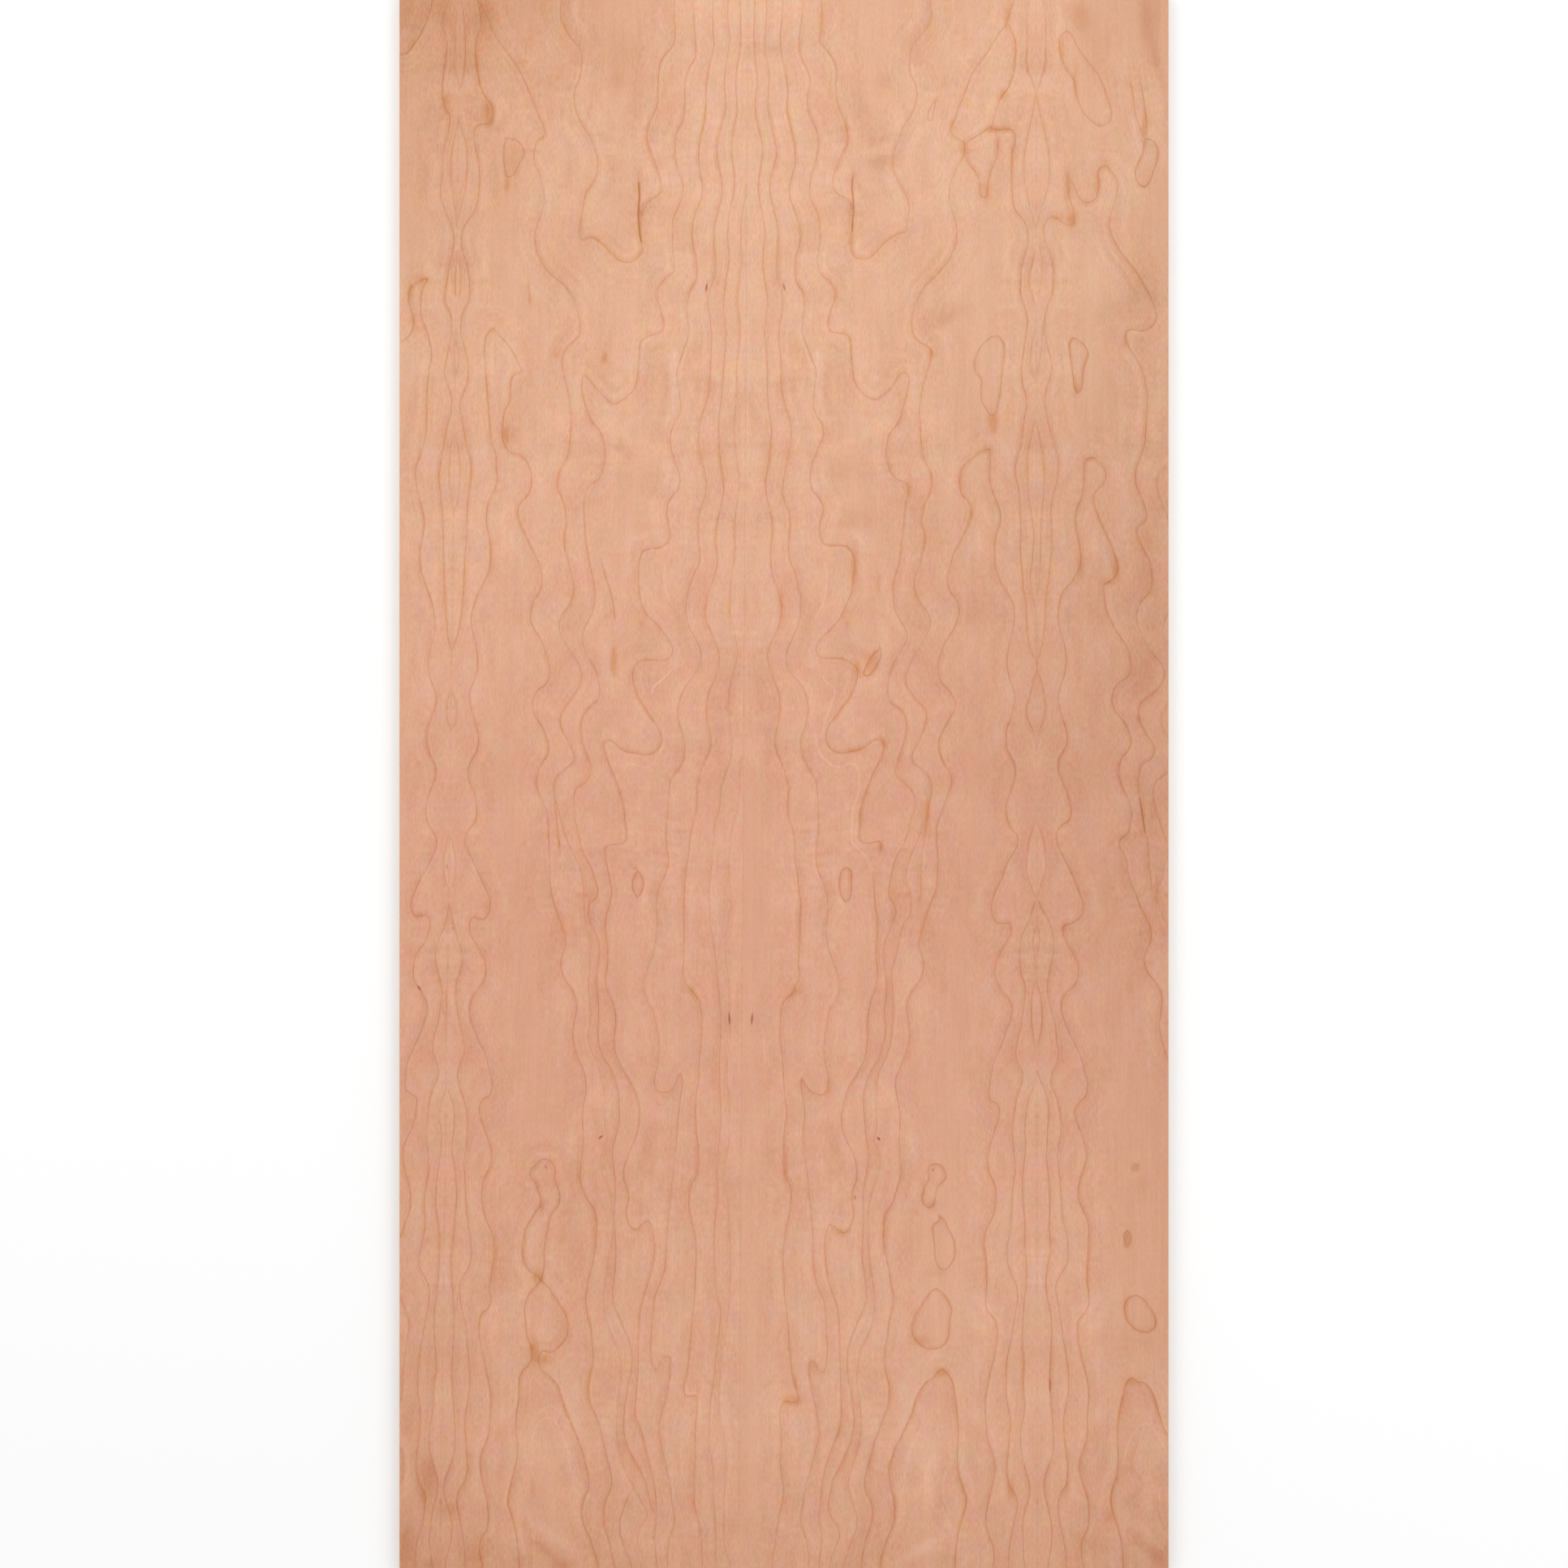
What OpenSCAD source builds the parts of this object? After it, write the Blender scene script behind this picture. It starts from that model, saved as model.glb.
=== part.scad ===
// Book-matched cherry plywood, one sheet lying flat with its show face up.
// The frame's origin is under the middle of the sheet, on the surface that it lies on.
// X runs across the sheet, Y along its length towards the head end, and Z up through the plies.

/* [Sheet] */
// Length of the sheet, along the grain of the face
sheet_length = 2500; // [2000:5:3100]
// Width of the sheet, across the grain of the face
sheet_width = 1220; // [1180:5:1260]

/* [Plies] */
// Thickness of the sliced cherry on the show face
face_thickness = 0.6; // [0.4:0.05:1.2]
// Thickness of the cherry on the back
back_thickness = 0.6; // [0.4:0.05:1.2]
// Thickness of each crossband, whose grain runs across the sheet
crossband_thickness = 3.2; // [2:0.1:4.2]
// Thickness of each long-grain core ply
long_core_thickness = 3.8; // [2:0.1:4.5]
// Thickness of the ply at the middle of the core, whose grain runs across the sheet
centre_core_thickness = 3.8; // [2:0.1:4.5]

/* [Face leaves] */
// Width at the head of the first leaf, which the sheet's left edge cuts
first_leaf_head = 96; // [60:1:140]
// Width at the foot of the first leaf
first_leaf_foot = 64; // [40:1:120]
// Width at the head of the last leaf, which the sheet's right edge cuts
last_leaf_head = 210; // [150:1:260]
// Width at the foot of the last leaf
last_leaf_foot = 208; // [150:1:260]

/* [Hidden] */

// Height of each ply's underside, where it lies on the ply below
crossband_lower_z = back_thickness;
long_core_lower_z = crossband_lower_z + crossband_thickness;
centre_core_z = long_core_lower_z + long_core_thickness;
long_core_upper_z = centre_core_z + centre_core_thickness;
crossband_upper_z = long_core_upper_z + long_core_thickness;
face_z = crossband_upper_z + crossband_thickness;

// The two whole leaves share the width between the cut ones. They are consecutive slices of one flitch,
// trimmed together, so they have the same taper.
whole_leaf_head = (sheet_width - first_leaf_head - last_leaf_head) / 2;
whole_leaf_foot = (sheet_width - first_leaf_foot - last_leaf_foot) / 2;

cherry_colour = [0.86, 0.65, 0.53];
back_colour = [0.80, 0.60, 0.47];
side_grain_colour = [0.87, 0.77, 0.62];
end_grain_colour = [0.70, 0.56, 0.41];

// The joint at the right of the first, second or third leaf, as its distances from the sheet's left edge:
// [at the foot, at the head]
function joint(leaf) = [
    first_leaf_foot + (leaf - 1) * whole_leaf_foot,
    first_leaf_head + (leaf - 1) * whole_leaf_head
];

// Lays a flat outline, drawn from the sheet's foot left corner, at its height in the stack of plies
module ply(bottom, thickness) {
    translate([-sheet_width / 2, -sheet_length / 2, bottom])
        linear_extrude(thickness)
            children();
}

// One ply that covers the whole sheet
module whole_ply(bottom, thickness) {
    ply(bottom, thickness) square([sheet_width, sheet_length]);
}

// One leaf of the face, between its left and right edge. The leaves are jointed edge to edge, each turned
// over like a page of a book.
module face_leaf(left, right) {
    color(cherry_colour)
        ply(face_z, face_thickness)
            polygon([
                [left[0], 0],
                [right[0], 0],
                [right[1], sheet_length],
                [left[1], sheet_length]
            ]);
}

// The outer edges of the first and the last leaf are the sheet's own sawn edges
module face_leaf_1() {
    face_leaf([0, 0], joint(1));
}

module face_leaf_2() {
    face_leaf(joint(1), joint(2));
}

module face_leaf_3() {
    face_leaf(joint(2), joint(3));
}

module face_leaf_4() {
    face_leaf(joint(3), [sheet_width, sheet_width]);
}

// Grain across the sheet, so its long edges show end grain
module crossband_upper() {
    color(end_grain_colour) whole_ply(crossband_upper_z, crossband_thickness);
}

module crossband_lower() {
    color(end_grain_colour) whole_ply(crossband_lower_z, crossband_thickness);
}

module centre_core() {
    color(end_grain_colour) whole_ply(centre_core_z, centre_core_thickness);
}

// Grain along the sheet, so its long edges show side grain
module long_core_upper() {
    color(side_grain_colour) whole_ply(long_core_upper_z, long_core_thickness);
}

module long_core_lower() {
    color(side_grain_colour) whole_ply(long_core_lower_z, long_core_thickness);
}

module back_veneer() {
    color(back_colour) whole_ply(0, back_thickness);
}

face_leaf_1();
face_leaf_2();
face_leaf_3();
face_leaf_4();
crossband_upper();
long_core_upper();
centre_core();
long_core_lower();
crossband_lower();
back_veneer();
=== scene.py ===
# %% [markdown]
# # A sheet of book-matched cherry plywood
# The sheet is stock, not furniture: 2500 by 1220 mm of veneer-core plywood, 19 mm thick, lying on a floor with
# its cherry face up. The camera looks straight down on it. What makes the face is its figure: four leaves sliced
# one after the other from one log, opened like the pages of a book, with growth lines that run in long arches.
# A picture of wood could be pasted on, but then nothing could be changed or looked at closely. Here the growth
# lines are drawn as curves, each vertex of the face learns how far it lies from the nearest one, and the shader
# turns those distances into wood.

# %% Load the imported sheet
import math

import bpy
import numpy as np
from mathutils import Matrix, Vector
from mathutils.kdtree import KDTree


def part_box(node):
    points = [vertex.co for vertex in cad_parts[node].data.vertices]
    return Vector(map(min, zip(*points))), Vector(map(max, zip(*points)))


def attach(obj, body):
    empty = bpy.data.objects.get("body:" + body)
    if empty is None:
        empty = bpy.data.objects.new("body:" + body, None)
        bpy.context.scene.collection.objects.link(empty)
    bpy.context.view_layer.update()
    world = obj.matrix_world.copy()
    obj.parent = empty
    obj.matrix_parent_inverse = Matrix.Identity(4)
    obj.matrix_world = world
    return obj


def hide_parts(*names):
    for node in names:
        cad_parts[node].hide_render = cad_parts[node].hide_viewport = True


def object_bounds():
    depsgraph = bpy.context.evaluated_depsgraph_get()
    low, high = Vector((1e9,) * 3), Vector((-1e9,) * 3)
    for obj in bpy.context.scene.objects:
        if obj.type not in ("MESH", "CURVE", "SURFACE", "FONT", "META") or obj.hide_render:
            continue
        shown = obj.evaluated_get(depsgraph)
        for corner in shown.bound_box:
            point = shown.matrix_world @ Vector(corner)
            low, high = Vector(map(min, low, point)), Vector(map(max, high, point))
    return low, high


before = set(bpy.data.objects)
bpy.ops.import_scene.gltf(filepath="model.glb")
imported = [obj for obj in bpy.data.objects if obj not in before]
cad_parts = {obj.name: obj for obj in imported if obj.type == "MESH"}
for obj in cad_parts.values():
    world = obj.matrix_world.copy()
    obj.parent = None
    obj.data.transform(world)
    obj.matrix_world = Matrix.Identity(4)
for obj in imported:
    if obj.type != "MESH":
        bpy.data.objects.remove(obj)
cad_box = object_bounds()
MM = 0.001
print("sheet box in metres:", [list(corner) for corner in cad_box])

# %% [markdown]
# ## The camera and the photograph's scale
# The photograph shows the face square on, 947.5 pixels wide for a sheet that is 1220 mm wide, and its two ends
# lie just outside the picture. A point of the picture is turned into a point of the sheet with that one scale. A
# long lens high above the sheet gives the same flat view, and, unlike a parallel camera, it still works when the
# sheet is seen from the side.

# %% Scale and camera
PHOTO_SIDE_PX = 1932
SHEET_LEFT_PX = 492.5
SHEET_RIGHT_PX = 1440.0
LENS_MM = 85
SENSOR_MM = 36

sheet_low, sheet_high = Vector(cad_box[0]), Vector(cad_box[1])
FACE_Z = sheet_high.z
METRES_PER_PX = (sheet_high.x - sheet_low.x) / (SHEET_RIGHT_PX - SHEET_LEFT_PX)
SHEET_MIDDLE_PX = (SHEET_LEFT_PX + SHEET_RIGHT_PX) / 2


def on_sheet(points_px):
    """Points of the photograph, as places on the sheet's face in metres."""
    points = np.array(points_px, float)
    across = (points[:, 0] - SHEET_MIDDLE_PX) * METRES_PER_PX
    along = (PHOTO_SIDE_PX / 2 - points[:, 1]) * METRES_PER_PX
    return np.column_stack([across, along])


camera_data = bpy.data.cameras.new("camera")
camera_data.lens = LENS_MM
camera_data.sensor_width = SENSOR_MM
camera = bpy.data.objects.new("camera", camera_data)
bpy.context.scene.collection.objects.link(camera)
camera_height = LENS_MM / SENSOR_MM * PHOTO_SIDE_PX * METRES_PER_PX
camera.location = (0, 0, FACE_Z + camera_height)
bpy.context.scene.camera = camera
print("millimetres per pixel:", round(METRES_PER_PX / MM, 4), "camera height:", round(camera_height, 3))

# %% [markdown]
# ## Reading the growth lines
# On the real face the dark lines are late wood, the dense wood that the tree laid down at the end of a summer.
# They could come from a noise texture, which would give wood, but not this wood. So the lines are curves through
# points read from the photograph. A line is written as text, `x,y x,y`, in pixels of the photograph, from
# the head of the sheet to its foot. An arch has two branches that start at its top. The side on which the tone
# is richer is the side of the older rings, so a line says which hand that is, for someone walking along it.

# %% Curves through points read from the photograph
STEP_MM = 1.4


def read_points(text):
    return [tuple(float(number) for number in pair.split(",")) for pair in text.split()]


def arch(left_branch, right_branch):
    """One line up the left branch and down the right one, both written from the top of the arch."""
    left = left_branch.split()
    return " ".join(left[::-1] + right_branch.split()[1:])


def smooth(points):
    """Places every STEP_MM along a curve that passes through the points, and its directions there."""
    gaps = np.linalg.norm(np.diff(points, axis=0), axis=1)
    slopes = np.diff(points, axis=0) / gaps[:, None]
    inner = slopes[:-1] * gaps[1:, None] + slopes[1:] * gaps[:-1, None]
    inner /= (gaps[:-1] + gaps[1:])[:, None]
    tangents = np.vstack([slopes[:1], inner, slopes[-1:]])
    places, ways = [], []
    for i, gap in enumerate(gaps):
        count = max(2, math.ceil(gap / (STEP_MM * MM)))
        t = (np.arange(count) / count)[:, None]
        start, end = points[i], points[i + 1]
        out, into = tangents[i] * gap, tangents[i + 1] * gap
        places.append(
            (2 * t**3 - 3 * t**2 + 1) * start
            + (t**3 - 2 * t**2 + t) * out
            + (3 * t**2 - 2 * t**3) * end
            + (t**3 - t**2) * into
        )
        ways.append(
            (6 * t**2 - 6 * t) * (start - end) + (3 * t**2 - 4 * t + 1) * out + (3 * t**2 - 2 * t) * into
        )
    places, ways = np.vstack(places), np.vstack(ways)
    return places, ways / np.linalg.norm(ways, axis=1)[:, None]


# %% The second leaf's lines
# Each entry: (kind, how dark, the hand of the richer side, the points)
LEAF_2 = [
    ("line", 0.8, "left", "567,-6 570,10 573,40 573,80 571,95 567,110 565,118"),
    ("line", 0.8, "left", "565,143 569,160 575,180 576,200 574,230 570,250 566,265 563,276"),
    ("line", 1.0, "left", "562,312 567,330 568,345 567,360 563,372"),
    ("line", 0.7, "left", "560,410 563,425 566,440 564,455 561,466"),
    ("line", 0.6, "left", "560,533 564,550 567,575 567,595 565,610 562,625 559,633"),
    ("line", 1.0, "left", (
        "587,-6 592,20 592,35 587,50 587,75 590,95 594,112 600,122 606,130 607,145 603,152 595,153 588,155"
        " 584,168 587,185 590,200 590,240 588,252 584,262 577,272 571,282 569,300 571,312 575,325 578,340"
        " 579,358 578,370 573,380 569,392 568,412 573,430 577,450 577,465 575,475 570,487 567,500 568,510"
        " 571,525 574,545 580,568 581,585 578,605 576,625 575,665 573,685 572,715 569,755 566,775 561,792"
        " 556,802"
    )),
    ("line", 0.6, "left", "556,850 561,862 563,880 560,893 555,899"),
    ("line", 0.55, "left", "553,1027 558,1040 561,1055 561,1075 559,1088 552,1097"),
    ("line", 0.9, "left", (
        "553,1115 556,1125 559,1138 565,1160 569,1172 570,1185 567,1198 563,1210 562,1225 564,1245 567,1262"
        " 571,1280 572,1298 567,1310 564,1322 566,1338 571,1352 575,1370 576,1390 575,1410 572,1430 573,1450"
        " 575,1490 577,1510 580,1530 581,1545 580,1555 574,1568 568,1580 567,1598 570,1615 574,1632 576,1655"
        " 579,1700 578,1718 575,1735 573,1755 574,1775 576,1795 576,1812 573,1825 565,1838 563,1850 566,1868"
        " 570,1890 573,1915 572,1940"
    )),
    ("line", 0.9, "left", (
        "550,1338 555,1350 559,1362 560,1380 559,1395 557,1415 560,1435 562,1455 563,1475 561,1495 558,1530"
        " 556,1550 557,1575 560,1625 559,1650 557,1700 560,1745 561,1770 560,1790 555,1807 549,1822 547,1838"
        " 551,1853 556,1870 557,1890 554,1908 550,1922 548,1940"
    )),
    ("line", 1.0, "right", arch(
        "607,405 600,413 597,428 598,450 600,475 602,500 604,525 607,548 611,560 612,580 613,592 609,605"
        " 602,620 600,635 600,648 603,660 605,680 604,697 601,708 595,720 588,735 583,750 581,765 583,780"
        " 587,795 589,812 588,828 584,840 579,852 579,865 583,882 588,897 590,912 588,925 582,935 578,945"
        " 578,960 582,972 586,985 588,1000 585,1013 578,1022 574,1030 574,1040 580,1055 587,1070 594,1085"
        " 601,1100 604,1110 602,1125 597,1132 590,1132 583,1130 579,1137 580,1150 591,1170 597,1182 599,1195"
        " 597,1207 590,1218 583,1228 579,1240 580,1255 585,1270 591,1285 598,1298 602,1315 606,1340 603,1350"
        " 596,1354 592,1360 591,1372 595,1385 600,1400 605,1415 606,1428 603,1440 598,1450 595,1462 594,1478"
        " 596,1492 600,1505 606,1518 609,1532 608,1555 605,1575 603,1590 605,1600 602,1612 594,1618 591,1630"
        " 592,1655 596,1675 600,1692 604,1710 605,1735 604,1755 600,1775 594,1790 592,1805 594,1820 598,1838"
        " 602,1868 600,1885 593,1897 591,1910 594,1925 597,1940",
        "607,405 615,413 624,422 633,435 639,448 643,458 636,460 630,467 629,480 628,495 622,507 620,520"
        " 622,548 630,558 640,560 648,567 653,577 655,592 653,605 648,613 641,620 638,632 641,645 647,658"
        " 653,670 660,685 666,700 668,715 665,730 658,740 655,752 654,765 658,775 665,785 670,797 675,812"
        " 678,825 677,835 671,845 662,851 658,860 657,872 660,882 667,893 672,905 676,920 675,930 668,940"
        " 663,952 661,965 664,977 670,990 675,1005 676,1025 677,1050 678,1080 679,1097 682,1110 688,1128"
        " 693,1142 697,1157 696,1168 692,1180 692,1195 697,1208 704,1218 709,1230 711,1243 708,1258 706,1275"
        " 708,1290 713,1304 719,1318 722,1332 722,1347 719,1362 718,1380 719,1400 718,1418 716,1436 715,1452"
        " 719,1468 725,1480 731,1488 735,1502 735,1520 731,1555 727,1570 723,1590 722,1605 724,1620 728,1635"
        " 730,1655 731,1675 728,1692 725,1710 727,1728 733,1742 739,1757 743,1775 747,1792 751,1808 754,1822"
        " 752,1837 746,1850 744,1865 745,1880 750,1897 754,1915 758,1932 760,1940"
    )),
    ("line", 0.9, "left", (
        "586,-6 590,0 600,20 606,35 620,58 635,78 642,90 655,120 665,145 671,160 670,168 663,173 660,180"
        " 659,200 665,215 670,235 671,245 669,258 664,272 660,285 660,300 663,313 669,325 676,335 685,343"
        " 694,350 702,360 708,372 713,388 715,400 714,412 708,420 700,427 695,435 693,448 695,462 699,477"
        " 702,495 704,515 703,535 701,555 697,568 690,580 687,592 688,603 694,617 697,630 698,645 696,660"
        " 696,675 700,690 704,705 707,720 706,735 700,748 692,760 689,772 693,785 700,797 708,810 714,820"
        " 717,832 715,843 708,855 701,865 693,877 690,887 693,900 700,912 706,925 707,938 700,945 690,953"
        " 684,962 683,975 686,990 690,1005 694,1020 699,1035 706,1050"
    )),
    ("line", 0.5, "left", (
        "706,1050 713,1065 718,1085 720,1110 722,1140 728,1160 727,1180 726,1220 728,1240 727,1260 725,1278"
        " 729,1295 736,1310 741,1328 745,1350 745,1370 746,1390 748,1402 744,1415 740,1430 742,1445 748,1458"
        " 753,1472 754,1490 754,1530 750,1548 748,1570 745,1590 744,1610 748,1628 754,1645 760,1660 765,1678"
        " 766,1695 764,1710 761,1730 760,1750 761,1775 765,1795 771,1812 779,1828 786,1842 793,1855 798,1868"
        " 793,1877 787,1887 786,1900 791,1913 797,1928 800,1940"
    )),
    ("line", 0.9, "left", (
        "693,-6 691,20 695,32 705,48 715,60 717,80 714,98 709,110 708,125 713,145 725,165 733,182 737,200"
        " 736,212 731,225 723,237 719,255 716,275 714,290 718,296 727,292 735,295 745,303 753,312 762,320"
        " 775,323 785,318 792,308 791,295 789,280 792,262 797,251 805,244 813,239 815,230 811,212 805,195"
        " 800,182 797,168 798,158 803,145 810,130 811,110 812,90 815,75 822,65 830,55 832,45 831,20 832,-6"
    )),
    ("line", 0.9, "right", (
        "855,-6 855,20 857,50 857,70 849,85 845,100 844,130 841,150 834,163 832,180 832,195 836,210 841,225"
        " 841,240 836,255 830,268 829,285 829,305 831,325 830,335 820,343 812,355 811,370 815,385 818,398"
        " 817,406 810,411 800,414 791,420 788,440 786,460 783,477 775,487 765,494 757,498 748,492 738,482"
        " 728,470 720,462 717,475 719,490 724,507 730,520 738,530 744,542 746,555 745,570 742,583 736,592"
        " 728,597 723,605 720,618 720,640 722,665 725,685 728,700 732,720 733,740 730,755 722,770 718,780"
        " 719,795 724,808 731,820 737,835 739,850 737,862 728,870 720,880 716,893 716,905 719,918 724,932"
        " 728,945 727,956 720,965 711,971 708,978 708,990 709,1010 712,1025 716,1042 722,1057 729,1070"
        " 734,1085 737,1100 733,1108 727,1112 725,1120 726,1132 730,1142 736,1155 739,1170 737,1190 735,1210"
        " 737,1230 738,1250 737,1275 739,1290 745,1304 752,1315 758,1330 762,1345 763,1365 763,1385 759,1400"
        " 755,1415 756,1435 758,1455 757,1500 759,1550 757,1575 755,1597 758,1612 764,1625 770,1640 776,1655"
        " 779,1670 778,1690 773,1715 769,1745 769,1765 774,1785 781,1798 789,1812 796,1828 800,1845 804,1860"
        " 807,1868"
    )),
    ("line", 1.0, "right", (
        "879,-6 879,40 880,55 875,78 871,100 870,130 868,150 863,170 861,190 862,210 866,230 864,245 858,260"
        " 854,275 854,300 857,315 859,330 858,345 851,358 847,375 848,415 843,430 838,445 834,460 836,475"
        " 838,490 838,508 832,520 828,530 826,542 828,555 833,572 838,590 837,600 830,610 823,620 822,632"
        " 824,648 826,660 821,670 812,675 800,676 792,680 788,692 787,710 788,730 791,745 797,757 805,765"
        " 812,772 818,780 825,790 829,800 827,808 820,813 805,813 790,814 783,820 780,830 781,843 786,857"
        " 793,870 802,883 810,895 815,908 813,920 806,927 797,930 785,928 772,926 763,921 757,915 751,912"
        " 745,915 745,925 749,937 755,952 760,965 765,980 769,995 770,1010 772,1025 770,1037 765,1040"
        " 752,1041 746,1045 746,1055 749,1070 752,1085 754,1100 751,1115 747,1130 746,1145 748,1160 749,1180"
        " 748,1195 746,1208 749,1222 754,1233 758,1245 759,1262 757,1280 758,1295 763,1308 770,1322 778,1335"
        " 784,1348 788,1362 788,1380 785,1397 779,1412 773,1427 769,1440 769,1453 773,1465 775,1477 772,1490"
        " 773,1502 779,1513 784,1515 791,1509 798,1504 803,1511 806,1525 807,1540 804,1560 800,1577 794,1595"
        " 789,1615 787,1640 786,1690 784,1720 783,1745 788,1758 793,1775 798,1795 803,1815 807,1835 809,1855"
        " 807,1895 808,1915 812,1940"
    )),
    ("line", 0.8, "right", (
        "898,-6 897,20 899,50 895,78 893,100 894,135 889,155 884,175 884,195 888,215 890,235 886,255 881,275"
        " 880,300 882,320 881,340 876,355 873,370 876,400 877,415 876,440 875,465 873,485 869,500 864,515"
        " 861,535 862,555 867,575 870,590 870,605 866,620 861,635 860,655 861,695 855,708 850,722 846,740"
        " 845,755 848,770 853,780 860,793 864,806 862,820 855,833 847,843 840,857 836,870 836,885 839,898"
        " 843,912 844,925 841,940 835,950 827,960 825,972 824,990 822,1010 821,1030 822,1045 824,1060"
        " 821,1075 815,1088 811,1100 809,1120 810,1140 808,1160 804,1178 797,1195 794,1210 794,1222 799,1235"
        " 805,1248 809,1265 812,1282 812,1300 810,1315 807,1330 809,1342 816,1346 825,1345 831,1338 835,1328"
        " 839,1322 841,1330 839,1350 836,1375 834,1400 831,1430 828,1460 825,1490 822,1520 821,1545 819,1565"
        " 814,1580 808,1595 805,1615 803,1640 802,1665 804,1680 808,1688 813,1681 817,1673 825,1672 826,1685"
        " 824,1705 821,1725 815,1742 812,1758 814,1775 818,1795 822,1812 826,1830 828,1850 831,1868 831,1880"
        " 826,1892 823,1910 823,1940"
    )),
    ("line", 0.9, "right", (
        "912,-6 912,60 908,85 907,105 908,140 903,165 902,190 905,215 904,240 899,260 897,290 898,325"
        " 894,350 892,375 895,415 893,440 891,465 889,490 886,520 886,545 888,570 891,590 892,605 888,625"
        " 884,645 882,660 884,695 880,712 875,725 871,740 869,755 872,770 877,780 882,793 886,805 886,820"
        " 882,835 875,850 872,865 871,880 873,895 876,910 876,920 870,935 864,950 860,965 859,985 858,1000"
        " 854,1015 851,1030 849,1050 846,1070 844,1090 843,1115 843,1180 842,1203 847,1215 854,1222 861,1233"
        " 864,1248 865,1265 864,1285 862,1305 861,1330 858,1352 857,1372 858,1390 860,1410 861,1430 859,1448"
        " 852,1460 849,1475 850,1492 853,1508 857,1525 858,1540 857,1570 856,1600 853,1625 851,1650 849,1675"
        " 846,1695 843,1712 845,1720 858,1720 859,1735 857,1760 857,1790 855,1840 856,1855 861,1875 864,1895"
        " 866,1940"
    )),
    ("line", 0.7, "right", (
        "920,225 919,240 914,265 913,300 914,325 911,345 909,375 912,400 911,425 908,450 908,480 906,505"
        " 905,530 907,555 910,580 911,600 909,615 906,640 905,690 901,710 900,740 900,760 903,770 906,785"
        " 909,800 906,820 902,835 899,850 898,870 900,890 902,905 902,925 899,940 893,955 889,970 888,985"
        " 886,1000 881,1015 880,1035 878,1055 876,1080 874,1100 875,1125 876,1140 879,1160 882,1180 884,1200"
        " 886,1225 888,1250 888,1275 887,1300 887,1330 888,1385 886,1410 884,1435 884,1480 881,1510 881,1560"
        " 882,1585 884,1600 888,1612 887,1635 885,1655 882,1675 880,1700 876,1725 874,1750 874,1780 877,1800"
        " 879,1820 879,1845 881,1870 882,1940"
    )),
    ("line", 0.45, "right", (
        "915,932 912,950 911,975 910,995 905,1010 901,1028 899,1050 899,1080 901,1100 900,1120 897,1140"
        " 894,1160 895,1185 898,1210 899,1255 900,1280 897,1305 896,1330 899,1355 899,1380 898,1410 894,1435"
        " 893,1460 897,1480 899,1510 900,1570 899,1600 896,1625 893,1650 889,1672 887,1700 886,1730 887,1750"
        " 891,1765 894,1785 895,1810 893,1835 892,1870 893,1905 898,1922 903,1940"
    )),
    ("line", 1.15, "right", arch(
        "672,1428 667,1429 661,1435 654,1442 654,1450 660,1457 664,1468 667,1478 666,1485 661,1492 654,1503"
        " 648,1515 645,1530 644,1545 647,1557 653,1566 661,1571 666,1577 658,1587 651,1597 647,1610 648,1630"
        " 650,1648 655,1660 656,1672 650,1683 643,1691 640,1702 640,1720 637,1740 636,1765 638,1785 636,1803"
        " 632,1820 628,1838 626,1850 631,1868 636,1888 639,1910 640,1940",
        "672,1428 680,1432 684,1440 684,1452 688,1465 690,1477 687,1487 681,1494 677,1505 674,1520 671,1540"
        " 671,1560 669,1570 668,1577 675,1585 683,1597 690,1608 697,1620 700,1635 698,1648 690,1658 680,1666"
        " 668,1665 664,1675 667,1687 678,1697 687,1707 692,1722 698,1740 705,1757 712,1773 718,1790 722,1807"
        " 726,1822 724,1837 719,1850 717,1865 720,1880 726,1893 730,1905 735,1920 738,1940"
    )),
    ("line", 0.95, "right", "625,170 637,173 646,190 640,202 632,216 626,218 622,205 621,190 622,178 625,170"),
    ("line", 1.4, "right", "786,1073 791,1080 791,1098 786,1105 781,1098 781,1082 786,1073"),
    ("line", 1.1, "right", "775,1842 768,1860 764,1875 765,1892 770,1908 777,1925 780,1940"),
    ("line", 1.0, "right", "683,975 684,995 686,1010 688,1030 691,1050"),
    ("line", 1.5, "right", "743,697 748,715 754,735 757,755 758,765"),
    ("pale", 0.7, "right", "820,912 812,930 800,944 785,943 773,941 769,950"),
    ("pale", 1.5, "right", "828,825 815,838 806,846 803,856"),
    ("pale", 0.55, "right", "654,1782 659,1762 668,1749 678,1747 688,1757 696,1775 703,1796"),
    ("pale", 0.45, "right", "646,1794 649,1768 656,1750 667,1738 680,1733 692,1742 700,1755"),
    ("pale", 0.6, "right", "826,683 819,700 820,725 828,745"),
    ("gum", 0.88, "right", "787,222 788,240 787,262 788,282 791,302"),
    ("gum", 0.42, "right", "649,50 648,62 648,72"),
    ("gum", 0.42, "right", "803,1890 806,1900"),
]
print("growth lines on the second leaf:", len(LEAF_2))

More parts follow.
